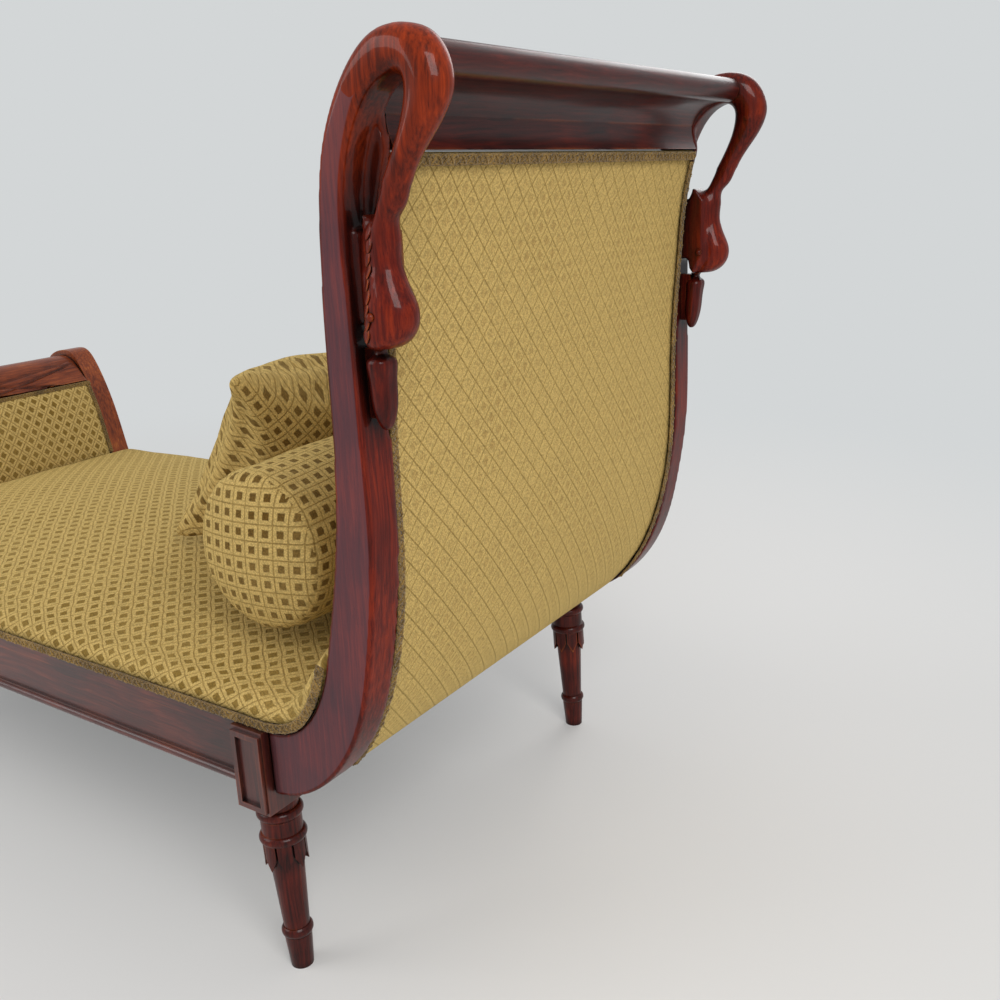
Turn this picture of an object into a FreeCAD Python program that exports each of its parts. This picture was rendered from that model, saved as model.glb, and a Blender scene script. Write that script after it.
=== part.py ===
"""Recamier with a tall swan-neck end, a low scrolled end and loose bolster and cushion.

X runs along the seat with the tall end at +X, Y runs across it, Z is up.
The origin lies on the floor, midway along and across the whole piece.
All sizes are millimetres.
"""
import FreeCAD
import Part
import math
import os

Vector = FreeCAD.Vector

# Plan of the frame
INNER_WIDTH = 572.0          # clear width between the side boards
BOARD_THICKNESS = 38.0       # side boards, scroll posts and seat rails' outer face line
BLOCK_SPACING = 1037.0       # between the corner blocks of one side
BLOCK_WIDTH = 42.0
BLOCK_DEPTH = 58.0
BLOCK_PROUD = 8.0            # corner block in front of the side board's face
BLOCK_BOTTOM = 205.0

# Seat rails
RAIL_BOTTOM = 227.0
RAIL_TOP = 297.0
RAIL_THICKNESS = 28.0
BEAD_HEIGHT = 9.0
BEAD_PROUD = 4.0
FIELD_DEPTH = 2.5            # sunk panel of the rail's face
FIELD_MARGIN = 9.0
END_RAIL_WIDTH = 38.0
END_RAIL_LIFT = 11.0         # the tall end's rail clears the cover that tucks under it
FOOT_RAIL_WIDTH = 26.0

# Tablets on the corner blocks
TABLET_BORDER = 6.0
TABLET_THICKNESS = 3.5

# Turned legs
LEG_RAKE = 2.8               # degrees, away from the middle of the seat
LEG_INSET = 6.0              # inward of the corner block's middle, across the seat
LEG_SHIFT = 4.0              # inward of the corner block's middle, along the seat
SPIGOT_RADIUS = 12.0
SPIGOT_LENGTH = 46.0
TOP_RING_RADIUS = 24.5
TOP_RING_DROP = 18.0
BAND_RING_RADIUS = 25.0
BAND_RING_DROP = 46.0
NECK_RADIUS = 21.5           # between the block and the two upper rings
SHAFT_TOP_RADIUS = 19.0
SHAFT_FOOT_RADIUS = 13.8
LOW_RING_RADIUS = 17.0
LOW_RING_HEIGHT = 44.0
FOOT_RADIUS = 11.6
RING_HEIGHT = 11.0
LAPPET_RADIUS = 22.6
LAPPET_LENGTH = 30.0
LAPPET_COUNT = 8
LAPPET_GAP = 2.2

# Tall end: rise of its boards over the rail and their reach past the corner block
HEAD_BOARD_TOP = 738.0
HEAD_BOARD_REACH = 172.0
TONGUE_THICKNESS = 11.0      # top of the board behind the neck
NECK_RISE = 170.0            # from the board's top to the crest of the neck
NECK_REACH = 98.0            # from the board's outer edge to the neck's front
SWAN_HEAD_DROP = 60.0        # from the board's top to the underside of the swan's head
SWAN_HEAD_HALF_DEPTH = 18.5
SWAN_SPLAY = 9.0             # head and neck outward of the board's middle
BILL_LENGTH = 68.0
BILL_GAP = 5.0               # between the board's edge and the bill, closed by a root
BILL_HALF_WIDTH = 9.5
BILL_HALF_DEPTH = 12.5
BILL_ROOT = 11.0
BILL_SPLAY = 5.0             # top of the bill outward of the board's middle
EYE_RADIUS = 3.6
FEATHER_GROOVE = 9.0         # between the board's edge and the feathered edge
FEATHER_HALF_DEPTH = 14.0
CREST_RADIUS = 13.0
CREST_TENON = 3.0            # ends of the crest rail past the boards' inner faces, into the necks
CREST_DROP = 8.0             # nose of the crest rail below the top of the necks

# Low end
FOOT_RISE = 210.0            # top of the scroll over the rail
FOOT_REACH = 148.0           # outside of the scroll past the corner block
FOOT_RAIL_DROP = 10.0        # crest rail below the posts' scroll
FOOT_PAD_SHARE = 0.738       # top of the padding, as a share of the scroll's rise

# Upholstery
WEB_WIDTH = 50.0
WEB_THICKNESS = 1.5
LONG_WEBS = 5
CROSS_WEBS = 11
HEAD_WEBS = 6
HESSIAN_THICKNESS = 1.0
SEAT_SIDE = 24.0             # height of the stuffing at the sides of the seat
SEAT_CROWN = 55.0            # height of the stuffing at the middle of the seat
PAD_BACK = 11.0
PAD_SIDE = 5.0
PAD_CROWN = 22.0
FOOT_PAD_CROWN = 14.0
ELBOW_SHARE = 0.30           # how much of the board's inner edge the seat's cover climbs
COVER_THICKNESS = 6.0
COVER_CROWN = 4.0
COVER_INSET = 3.0
BRAID_WIDTH = 9.0
BRAID_THICKNESS = 2.0
DUST_COVER_THICKNESS = 1.0

# Loose pieces
BOLSTER_RADIUS = 86.0
BOLSTER_LENGTH = 500.0
BOLSTER_DOME = 14.0
BOLSTER_TAPER = 5.0          # smaller radius at the end seams
BOLSTER_SET_BACK = 45.0      # from the tall end's block centre towards the seat
CUSHION_WIDTH = 298.0
CUSHION_HEIGHT = 297.0
CUSHION_THICKNESS = 135.0
CUSHION_EDGE = 8.0
CUSHION_DRAW = 14.0          # how far the sides draw in between the corners
CUSHION_LEAN = 38.5          # degrees from upright, against the bolster
CUSHION_TURN = 15.0          # degrees about the vertical
CUSHION_TIP = 2.5            # degrees in its own plane, far corner down
CUSHION_OFFSET = 25.0        # middle of the cushion off the middle of the seat

# Fixings
BRACE_LEG = 62.0
BRACE_HEIGHT = 40.0
BRACE_DROP = 12.0            # top of the braces below the rails' top
SCREW_RADIUS = 2.5
SCREW_HEAD_RADIUS = 4.5
SCREW_HEAD_HEIGHT = 3.0
SCREW_BITE = 16.0            # depth of the screws in the rail

REST_GAP = 0.4               # between loose pieces and what they rest on
SLIP = 0.2                   # between trim and the piece beside it

# Worked out from the sizes above
HALF_INNER = INNER_WIDTH / 2
HALF_OUTER = HALF_INNER + BOARD_THICKNESS
BOARD_MIDDLE = HALF_INNER + BOARD_THICKNESS / 2
NECK_FRONT = HEAD_BOARD_REACH + NECK_REACH
HEAD_X = (BLOCK_SPACING + FOOT_REACH - NECK_FRONT) / 2
FOOT_X = HEAD_X - BLOCK_SPACING
BLOCK_FACE = HALF_OUTER + BLOCK_PROUD
BLOCK_INSIDE = BLOCK_FACE - BLOCK_DEPTH
LEG_Y = BLOCK_FACE - BLOCK_DEPTH / 2 - LEG_INSET
SEAT_BASE = RAIL_TOP + 2 * WEB_THICKNESS + HESSIAN_THICKNESS
CREST_Z = HEAD_BOARD_TOP + NECK_RISE

HEAD_INNER = [
    (0.351, 0.025), (0.529, 0.105), (0.655, 0.256), (0.749, 0.440), (0.801, 0.642),
    (0.810, 0.860), (0.820, 1.000),
]
HEAD_OUTER = [
    (0.372, 0.024), (0.639, 0.100), (0.843, 0.225), (0.942, 0.366), (0.995, 0.500),
    (1.000, 0.690), (0.990, 0.860), (0.982, 1.000),
]
COVER_LINE = [
    (0.414, 0.018), (0.540, 0.061), (0.717, 0.143), (0.906, 0.307), (0.974, 0.440),
    (0.990, 0.600), (1.000, 0.780), (1.031, 0.930), (1.058, 1.040), (1.134, 1.168),
]
# Along the neck: reach, rise, half width in the side view, inner and outer face off the board's middle
NECK_PATH = [
    (-0.180, 0.000, 14.0, -19.0, 19.0), (-0.175, 0.080, 13.7, -19.0, 19.0), (-0.168, 0.180, 13.2, -19.0, 19.0),
    (-0.153, 0.300, 12.6, -19.0, 19.0), (-0.090, 0.494, 12.5, -19.0, 19.0),
    (0.035, 0.670, 13.0, -19.0, 19.5), (0.220, 0.812, 14.5, -19.0, 21.0), (0.470, 0.894, 17.0, -17.5, 23.0),
    (0.694, 0.865, 18.5, -14.0, 24.5), (0.796, 0.741, 18.5, -8.5, 25.0), (0.735, 0.588, 16.5, -5.5, 25.0),
    (0.602, 0.435, 14.5, -5.0, 24.0), (0.450, 0.282, 13.0, -5.0, 23.5), (0.330, 0.141, 14.0, -5.5, 23.0),
]
SWAN_HEAD_LEVELS = [
    (0.330, 0.141, 14.0), (0.290, 0.060, 13.5), (0.300, -0.059, 15.5), (0.330, -0.165, 20.5),
    (0.316, -0.259, 21.5), (0.265, -0.329, 17.0), (0.204, -0.358, 10.0),
]


def at(x, y, z):
    return Vector(x, y, z)


def curve_through(points):
    """Smooth curve in the XZ plane through (x, z) pairs."""
    curve = Part.BSplineCurve()
    curve.interpolate([at(x, 0, z) for x, z in points])
    return curve


def line(a, b):
    return Part.LineSegment(at(a[0], 0, a[1]), at(b[0], 0, b[1])).toShape()


def arc(a, b, c):
    return Part.Arc(at(a[0], 0, a[1]), at(b[0], 0, b[1]), at(c[0], 0, c[1])).toShape()


def slab(edges, y_low, y_high):
    """Solid whose side view is the closed run of edges, between two values of Y."""
    face = Part.Face(Part.Wire(edges))
    face.translate(at(0, y_low, 0))
    return face.extrude(at(0, y_high - y_low, 0))


def polygon_slab(points, y_low, y_high):
    edges = [line(a, b) for a, b in zip(points, points[1:] + points[:1])]
    return slab(edges, y_low, y_high)


def box(x_low, x_high, y_low, y_high, z_low, z_high):
    return Part.makeBox(x_high - x_low, y_high - y_low, z_high - z_low, at(x_low, y_low, z_low))


def mirrored(shape):
    """The same piece for the other side of the seat."""
    return shape.mirror(at(0, 0, 0), at(0, 1, 0))


def bundle(shapes):
    return Part.makeCompound(shapes)


def ends(curve):
    first = curve.value(curve.FirstParameter)
    last = curve.value(curve.LastParameter)
    return (first.x, first.z), (last.x, last.z)


def station(curve, fraction, side):
    """Point and unit normal at a fraction of a curve; side 1 is left of its run, -1 right."""
    span = curve.LastParameter - curve.FirstParameter
    parameter = curve.FirstParameter + fraction * span
    tangent = curve.tangent(parameter)[0]
    return curve.value(parameter), at(-tangent.z, 0, tangent.x) * side


def beside(curve, distance, side, start=0.0, stop=1.0, count=12):
    """Smooth curve at a steady distance beside another one."""
    points = []
    for step in range(count + 1):
        point, normal = station(curve, start + (stop - start) * step / count, side)
        spot = point + normal * distance
        points.append((spot.x, spot.z))
    return curve_through(points)


def strip_between(curve, near, far, side, start, stop, y_low, y_high):
    """Slab between two curves that run beside the given one."""
    low = beside(curve, near, side, start, stop)
    high = beside(curve, far, side, start, stop)
    low_start, low_end = ends(low)
    high_start, high_end = ends(high)
    edges = [low.toShape(), line(low_end, high_end), high.toShape(), line(high_start, low_start)]
    return slab(Part.__sortEdges__(edges), y_low, y_high)


# Outlines of the tall end, tied to its reach and rise
def head_points(shares, base):
    rise = HEAD_BOARD_TOP - base
    return [(HEAD_X + HEAD_BOARD_REACH * x, base + rise * z) for x, z in shares]


def head_inner_points():
    return [(HEAD_X + BLOCK_WIDTH / 2, RAIL_TOP)] + head_points(HEAD_INNER, RAIL_TOP)


def head_inner_curve():
    return curve_through(head_inner_points())


def head_outer_curve():
    start = (HEAD_X + BLOCK_WIDTH / 2, RAIL_BOTTOM)
    return curve_through([start] + head_points(HEAD_OUTER, RAIL_BOTTOM))


def head_cover_curve():
    return curve_through(head_points(COVER_LINE, RAIL_BOTTOM))


def neck_spot(x, z):
    return HEAD_X + HEAD_BOARD_REACH + NECK_REACH * x, HEAD_BOARD_TOP + NECK_RISE * z


def make_head_board():
    inner = head_inner_curve()
    outer = head_outer_curve()
    inner_start, inner_end = ends(inner)
    outer_start, outer_end = ends(outer)
    edges = [
        outer.toShape(),
        line(outer_end, inner_end),
        inner.toShape(),
        line(inner_start, outer_start),
    ]
    board = slab(Part.__sortEdges__(edges), -HALF_OUTER, -HALF_INNER)
    swan = make_swan_neck().fuse(make_feather_band())
    return board.fuse(make_board_tongue().cut(swan)).removeSplitter()


def make_board_tongue():
    """Thin top of the board, behind the neck, that carries the cove panel and closes the padding's side."""
    _, board_top = ends(head_inner_curve())
    outer_x, _ = ends(head_outer_curve())[1]
    inner_x, seam_z = neck_spot(-0.05, 0.66)
    cove_x = neck_spot(0.155, 0)[0]
    pad_x, low_z = head_pad_top()
    corners = [
        (board_top[0], board_top[1] - 5),
        board_top,
        (pad_x, low_z),
        (inner_x, seam_z),
        (cove_x, seam_z),
        (cove_x + 5, low_z),
        (outer_x, board_top[1] + 5),
        (outer_x, board_top[1] - 5),
    ]
    return polygon_slab(corners, -HALF_INNER - TONGUE_THICKNESS, -HALF_INNER)


def rounded_section(middle, along, half_wide, half_deep, roundness):
    """Closed section square to a direction in the XZ plane, with rounded corners."""
    across = at(-along.z, 0, along.x)
    deep = at(0, 1, 0)
    radius = roundness * min(half_wide, half_deep)
    flat_wide = half_wide - radius
    flat_deep = half_deep - radius
    slant = radius * math.sqrt(0.5)

    def spot(wide, depth):
        return middle + across * wide + deep * depth

    edges = []
    for sign_wide, sign_deep in ((1, 1), (-1, 1), (-1, -1), (1, -1)):
        corner = spot(sign_wide * (flat_wide + slant), sign_deep * (flat_deep + slant))
        side_end = spot(sign_wide * half_wide, sign_deep * flat_deep)
        face_end = spot(sign_wide * flat_wide, sign_deep * half_deep)
        turning = sign_wide * sign_deep > 0
        first, last = (side_end, face_end) if turning else (face_end, side_end)
        edges.append(Part.Arc(first, corner, last).toShape())
    closed = []
    for edge, following in zip(edges, edges[1:] + edges[:1]):
        closed.append(edge)
        closed.append(Part.LineSegment(edge.lastVertex().Point, following.firstVertex().Point).toShape())
    return Part.Wire(closed)


def loft(sections):
    return Part.makeLoft(sections, True, False)


def make_swan_neck():
    """Limb that rises from the board, turns over and comes down in front of it."""
    points = [neck_spot(x, z) for x, z, *_ in NECK_PATH]
    sections = []
    last = len(points) - 1
    for index, (point, station_sizes) in enumerate(zip(points, NECK_PATH)):
        half, inner, outer = station_sizes[2:]
        before = points[max(index - 1, 0)]
        after = points[min(index + 1, last)]
        along = at(after[0] - before[0], 0, after[1] - before[1])
        if index == 0:
            along = at(0, 0, 1)
        if index == last:
            along = at(0, 0, -1)
        along.normalize()
        roundness = 0.30 + 0.68 * min(1.0, max(0.0, (index - 4) / 4))
        middle = at(point[0], -BOARD_MIDDLE - (inner + outer) / 2, point[1])
        sections.append(rounded_section(middle, along, half, (outer - inner) / 2, roundness))
    return loft(sections)


def make_feather_band():
    """Web behind the neck and head: a thin root at the board and a fuller edge for the feathers."""
    x_back, z_top = neck_spot(0.0, 0.16)
    x_tip, z_tip = neck_spot(0.16, 0.25)
    x_front = neck_spot(0.30, 0)[0]
    z_low = HEAD_BOARD_TOP - SWAN_HEAD_DROP - 2
    root_x = x_back + FEATHER_GROOVE
    root = box(
        x_back - 6, x_front, -BOARD_MIDDLE - 8, -BOARD_MIDDLE + FEATHER_HALF_DEPTH, z_low + 20, z_top,
    )
    outline = [
        (root_x + 4, z_low + 6),
        (x_front - 12, z_low),
        (x_front, z_low + 24),
        (x_front, z_top),
        (x_tip, z_tip),
        (root_x, z_top - 4),
        (root_x, z_low + 20),
    ]
    band = polygon_slab(outline, -HALF_OUTER + 2, -BOARD_MIDDLE + FEATHER_HALF_DEPTH)
    return root.fuse(band)


def make_swan_head():
    sections = []
    for x, z, half in SWAN_HEAD_LEVELS:
        spot_x, spot_z = neck_spot(x, z)
        half_deep = min(half + 0.5, SWAN_HEAD_HALF_DEPTH)
        middle = at(spot_x, -BOARD_MIDDLE - SWAN_SPLAY, spot_z)
        sections.append(rounded_section(middle, at(0, 0, -1), half, half_deep, 0.98))
    return loft(sections).fuse(make_feather_band())


def make_bill():
    """Bill that points straight down along the board's outer edge, on a thin root."""
    top = HEAD_BOARD_TOP - SWAN_HEAD_DROP - 1
    middle_x = HEAD_X + HEAD_BOARD_REACH + BILL_GAP + BILL_HALF_WIDTH
    shares = [
        (0.00, 0.62), (0.10, 0.62), (0.15, 0.96), (0.30, 1.0),
        (0.60, 0.92), (0.85, 0.70), (0.96, 0.44), (1.0, 0.2),
    ]
    sections = []
    for drop, share in shares:
        middle = at(middle_x - 3 * drop, -BOARD_MIDDLE - BILL_SPLAY * (1 - drop), top - BILL_LENGTH * drop)
        sections.append(rounded_section(middle, at(0, 0, -1), BILL_HALF_WIDTH * share, BILL_HALF_DEPTH * share, 0.9))
    root = box(
        middle_x - BILL_HALF_WIDTH - BILL_GAP - 4, middle_x - 3,
        -BOARD_MIDDLE - BILL_ROOT / 2, -BOARD_MIDDLE + BILL_ROOT / 2,
        top - 0.86 * BILL_LENGTH, top - 0.02 * BILL_LENGTH,
    )
    return loft(sections).fuse(root)


def swan_parts():
    """Neck, head and bill of one side, cut clear of the board and of each other."""
    board = make_head_board()
    neck = make_swan_neck().cut(board)
    head = make_swan_head().cut(board).cut(neck)
    bill = make_bill().cut(board).cut(head)
    head = max(head.Solids, key=lambda solid: solid.Volume)
    bill = max(bill.Solids, key=lambda solid: solid.Volume)
    return neck, head, bill


def make_eyes(head_front, head_back):
    """Bead on each side of each swan's head."""
    eye_x, eye_z = neck_spot(0.255, -0.205)
    beads = []
    for head in (head_front, head_back):
        middle_y = head.BoundBox.Center.y
        for side in (-1, 1):
            line_of_sight = Part.LineSegment(at(eye_x, middle_y, eye_z), at(eye_x, middle_y + 60 * side, eye_z))
            inside = line_of_sight.toShape().common(head)
            depth = inside.BoundBox.YMax if side > 0 else inside.BoundBox.YMin
            bead = Part.makeSphere(EYE_RADIUS, at(eye_x, depth, eye_z))
            beads.append(bead.cut(head))
    return bundle(beads)


def make_crest_rail():
    """Rail rolled over like the necks, with the top of the cove under its nose."""
    nose_x, _ = neck_spot(0.60, 0)
    nose_z = CREST_Z - CREST_DROP - CREST_RADIUS
    inner_x, seam_z = neck_spot(-0.05, 0.66)
    outer_x = neck_spot(0.155, 0)[0]
    top = curve_through([
        (nose_x, nose_z + CREST_RADIUS),
        (nose_x - 28, nose_z + CREST_RADIUS - 7),
        (inner_x + 14, seam_z + 22),
        (inner_x, seam_z),
    ])
    edges = [
        arc((nose_x, nose_z - CREST_RADIUS), (nose_x + CREST_RADIUS, nose_z), (nose_x, nose_z + CREST_RADIUS)),
        top.toShape(),
        line((inner_x, seam_z), (outer_x, seam_z)),
        arc((outer_x, seam_z), (outer_x + 12, seam_z + 17), (nose_x, nose_z - CREST_RADIUS)),
    ]
    span = HALF_INNER + CREST_TENON
    rail = slab(Part.__sortEdges__(edges), -span, span)
    neck = make_swan_neck()
    return rail.cut(neck).cut(mirrored(neck))


def make_cove_panel():
    inner_x, seam_z = neck_spot(-0.05, 0.66)
    outer_x = neck_spot(0.155, 0)[0]
    pad_x, low_z = head_pad_top()
    edges = [
        arc((outer_x, seam_z), (outer_x + 1, (seam_z + low_z) / 2 + 1), (outer_x + 7, low_z)),
        line((outer_x + 7, low_z), (pad_x, low_z)),
        line((pad_x, low_z), (inner_x, seam_z)),
        line((inner_x, seam_z), (outer_x, seam_z)),
    ]
    return slab(Part.__sortEdges__(edges), -HALF_INNER, HALF_INNER)


# Corner blocks, rails and legs
def make_block(block_x):
    block = box(
        block_x - BLOCK_WIDTH / 2, block_x + BLOCK_WIDTH / 2,
        -BLOCK_FACE, -BLOCK_FACE + BLOCK_DEPTH,
        BLOCK_BOTTOM, RAIL_TOP,
    )
    return block


def make_leg(block_x, direction):
    """Turned leg under a block, raked along X in the given direction."""
    length = BLOCK_BOTTOM / math.cos(math.radians(LEG_RAKE)) + 8
    shaft_top = BAND_RING_DROP + RING_HEIGHT / 2
    low_ring = length - 8 - LOW_RING_HEIGHT
    half_ring = RING_HEIGHT / 2
    neck = NECK_RADIUS

    def spot(radius, drop):
        return at(radius, 0, -drop)

    def ring(radius, drop, inner):
        return Part.Arc(spot(inner, drop - half_ring), spot(radius, drop), spot(inner, drop + half_ring)).toShape()

    rings = [
        (TOP_RING_RADIUS, TOP_RING_DROP, TOP_RING_RADIUS - 3.5),
        (BAND_RING_RADIUS, BAND_RING_DROP, BAND_RING_RADIUS - 3.5),
        (LOW_RING_RADIUS, low_ring, LOW_RING_RADIUS - 2.6),
    ]
    corners = [
        [spot(0, -SPIGOT_LENGTH), spot(SPIGOT_RADIUS, -SPIGOT_LENGTH), spot(SPIGOT_RADIUS, 0),
         spot(neck, 0), spot(neck - 1.5, TOP_RING_DROP - half_ring)],
        [spot(neck, TOP_RING_DROP + half_ring), spot(neck, BAND_RING_DROP - half_ring)],
        [spot(SHAFT_TOP_RADIUS, shaft_top), spot(SHAFT_FOOT_RADIUS, low_ring - half_ring)],
        [spot(SHAFT_FOOT_RADIUS + 1, low_ring + half_ring), spot(FOOT_RADIUS, length), spot(0, length)],
    ]
    edges = []
    cursor = corners[-1][-1]
    for index, run in enumerate(corners):
        stops = list(run)
        if index < len(rings):
            radius, drop, inner = rings[index]
            stops.append(spot(inner, drop - half_ring))
        for stop in stops:
            if cursor.distanceToPoint(stop) > 0.001:
                edges.append(Part.LineSegment(cursor, stop).toShape())
            cursor = stop
        if index < len(rings):
            edges.append(ring(radius, drop, inner))
            cursor = spot(inner, drop + half_ring)
    profile = Part.Face(Part.Wire(edges))
    leg = profile.revolve(at(0, 0, 0), at(0, 0, 1), 360)
    leg = leg.fuse(make_lappets(shaft_top))
    leg.rotate(at(0, 0, 0), at(0, 1, 0), -direction * LEG_RAKE)
    leg.translate(at(block_x - direction * LEG_SHIFT, -LEG_Y, BLOCK_BOTTOM))
    below = box(block_x - 100, block_x + 100, -HALF_OUTER - 100, 0, -60, 0)
    return leg.cut(below)


def make_lappets(shaft_top):
    """Sleeve of pointed tongues hanging under the leg's band ring."""
    top = -shaft_top + 1
    sleeve = Part.makeCylinder(LAPPET_RADIUS, LAPPET_LENGTH, at(0, 0, top - LAPPET_LENGTH))
    pitch = 2 * LAPPET_RADIUS * math.sin(math.pi / LAPPET_COUNT)
    gap = LAPPET_GAP / 2
    notch_points = [
        (-gap, top + 1), (gap, top + 1), (gap, top - 0.55 * LAPPET_LENGTH),
        (pitch / 2, top - LAPPET_LENGTH - 0.5), (-pitch / 2, top - LAPPET_LENGTH - 0.5),
        (-gap, top - 0.55 * LAPPET_LENGTH),
    ]
    core_radius = SHAFT_TOP_RADIUS - 1.0
    for index in range(LAPPET_COUNT):
        notch = polygon_slab(notch_points, core_radius - 4, LAPPET_RADIUS + 5)
        notch.rotate(at(0, 0, 0), at(0, 0, 1), 360.0 * (index + 0.5) / LAPPET_COUNT)
        sleeve = sleeve.cut(notch)
    return sleeve


def make_tablets():
    """Raised border on the face of each corner block."""
    frames = []
    for block_x in (HEAD_X, FOOT_X):
        half = BLOCK_WIDTH / 2 - 2
        low, high = BLOCK_BOTTOM + 3, RAIL_TOP - 4
        outer = box(block_x - half, block_x + half, -BLOCK_FACE - TABLET_THICKNESS, -BLOCK_FACE, low, high)
        inner = box(
            block_x - half + TABLET_BORDER, block_x + half - TABLET_BORDER,
            -BLOCK_FACE - TABLET_THICKNESS - 1, -BLOCK_FACE + 1,
            low + TABLET_BORDER, high - TABLET_BORDER,
        )
        border = outer.cut(inner)
        frames.append(border)
        frames.append(mirrored(border))
    return bundle(frames)


def make_long_rail():
    x_low = FOOT_X + BLOCK_WIDTH / 2
    x_high = HEAD_X - BLOCK_WIDTH / 2
    rail = box(x_low, x_high, -HALF_OUTER, -HALF_OUTER + RAIL_THICKNESS, RAIL_BOTTOM, RAIL_TOP)
    field = box(
        x_low + FIELD_MARGIN, x_high - FIELD_MARGIN,
        -HALF_OUTER - 1, -HALF_OUTER + FIELD_DEPTH,
        RAIL_BOTTOM + BEAD_HEIGHT + 2, RAIL_TOP - BRAID_WIDTH - FIELD_MARGIN / 2,
    )
    return rail.cut(field)


def make_rail_bead():
    """Half-round moulding along the foot of the rail's face."""
    x_low = FOOT_X + BLOCK_WIDTH / 2
    length = BLOCK_SPACING - BLOCK_WIDTH
    face_y = -HALF_OUTER
    low = at(x_low, face_y, RAIL_BOTTOM)
    high = at(x_low, face_y, RAIL_BOTTOM + BEAD_HEIGHT)
    nose = at(x_low, face_y - BEAD_PROUD, RAIL_BOTTOM + BEAD_HEIGHT / 2)
    wire = Part.Wire([Part.Arc(low, nose, high).toShape(), Part.LineSegment(high, low).toShape()])
    return Part.Face(wire).extrude(at(length, 0, 0))


def make_head_end_rail():
    """Rail across the tall end, between its boards and just past the corner blocks."""
    near = HEAD_X + BLOCK_WIDTH / 2 + SLIP
    return box(near, near + END_RAIL_WIDTH, -HALF_INNER, HALF_INNER, RAIL_BOTTOM + END_RAIL_LIFT, RAIL_TOP)


def make_foot_end_rail():
    """Rail across the low end, between its corner blocks and flush with their outside."""
    near = FOOT_X - BLOCK_WIDTH / 2
    return box(near, near + FOOT_RAIL_WIDTH, -BLOCK_INSIDE, BLOCK_INSIDE, RAIL_BOTTOM, RAIL_TOP)


def brace_corners():
    """Inner corners that the braces fill: X, run along X and side in Y."""
    head_x = HEAD_X + BLOCK_WIDTH / 2 + SLIP
    foot_x = FOOT_X - BLOCK_WIDTH / 2 + FOOT_RAIL_WIDTH
    foot_run = FOOT_X + BLOCK_WIDTH / 2 - foot_x
    return [(head_x, -BLOCK_WIDTH, -1), (head_x, -BLOCK_WIDTH, 1), (foot_x, foot_run, -1), (foot_x, foot_run, 1)]


def make_braces():
    top = RAIL_TOP - BRACE_DROP
    braces = []
    for x, run, side in brace_corners():
        corner = at(x, side * BLOCK_INSIDE, top)
        along = at(x + run, side * BLOCK_INSIDE, top)
        across = at(x, side * (BLOCK_INSIDE - BRACE_LEG), top)
        face = Part.Face(Part.makePolygon([corner, along, across, corner]))
        braces.append(face.extrude(at(0, 0, -BRACE_HEIGHT)))
    return bundle(braces)


def make_screws():
    """Two countersunk screws through each brace into the rail across the end."""
    screws = []
    for x, run, side in brace_corners():
        direction = 1 if run < 0 else -1
        for share in (0.22, 0.50):
            y = side * (BLOCK_INSIDE - BRACE_LEG * share)
            face_x = x + run * (1 - share)
            z = RAIL_TOP - BRACE_DROP - BRACE_HEIGHT / 2
            axis = at(direction, 0, 0)
            head = Part.makeCone(SCREW_HEAD_RADIUS, SCREW_RADIUS, SCREW_HEAD_HEIGHT, at(face_x, y, z), axis)
            length = abs(face_x - x) + SCREW_BITE
            shank = Part.makeCylinder(SCREW_RADIUS, length, at(face_x, y, z), axis)
            screws.append(head.fuse(shank))
    return bundle(screws)


# Low end
def foot_spot(reach_share, rise_share):
    return FOOT_X - FOOT_REACH * reach_share, RAIL_TOP + FOOT_RISE * rise_share


def foot_inner_curve():
    """Seat-side edge of the scroll post, from the rail up to the top of the scroll."""
    shares = [(-0.162, 0.0), (-0.102, 0.152), (-0.020, 0.371), (0.081, 0.586), (0.176, 0.738), (0.284, 0.876)]
    points = [foot_spot(reach, rise) for reach, rise in shares]
    points.append(foot_spot(0.40, 0.97))
    points.append(foot_spot(0.54, 1.0))
    return curve_through(points)


def scroll_curve(inset):
    """Round of the scroll from its top, over the outside and back underneath."""
    shares = [(0.54, 1.0), (0.76, 0.975), (0.90, 0.92), (1.0, 0.79), (0.93, 0.66), (0.79, 0.60), (0.64, 0.585)]
    middle_x, middle_z = foot_spot(0.70, 0.79)
    size = foot_spot(0.70, 1.0)[1] - middle_z
    shrink = (size - inset) / size
    points = []
    for reach, rise in shares:
        x, z = foot_spot(reach, rise)
        points.append((middle_x + (x - middle_x) * shrink, middle_z + (z - middle_z) * shrink))
    return curve_through(points)


def make_foot_post():
    inner = foot_inner_curve()
    scroll = scroll_curve(0.0)
    outer_points = foot_outer_points() + [ends(scroll)[1]]
    outer = curve_through(outer_points)
    start, _ = ends(inner)
    edges = [inner.toShape(), scroll.toShape(), outer.toShape(), line(outer_points[0], start)]
    return slab(Part.__sortEdges__(edges), -HALF_OUTER, -HALF_INNER)


def make_foot_crest():
    """Rolled rail between the scroll posts."""
    scroll = scroll_curve(FOOT_RAIL_DROP)
    top, bottom = ends(scroll)
    pad_top = foot_spot(0, FOOT_PAD_SHARE)[1]
    face_start = foot_face_at(pad_top)
    face = curve_through([
        (face_start + 1, pad_top),
        foot_spot(0.30, 0.850),
        (foot_spot(0.42, 0)[0], top[1] - 7),
        top,
    ])
    back_x = foot_spot(0.36, 0)[0]
    edges = [
        face.toShape(),
        scroll.toShape(),
        line(bottom, (back_x, bottom[1] - 4)),
        line((back_x, bottom[1] - 4), (back_x, pad_top)),
        line((back_x, pad_top), (face_start + 1, pad_top)),
    ]
    return slab(Part.__sortEdges__(edges), -HALF_INNER, HALF_INNER)


def foot_face_at(height):
    """X of the scroll post's seat-side edge at a height."""
    curve = foot_inner_curve()
    low, high = curve.FirstParameter, curve.LastParameter
    for _ in range(40):
        middle = (low + high) / 2
        if curve.value(middle).z < height:
            low = middle
        else:
            high = middle
    return curve.value(low).x


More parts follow.
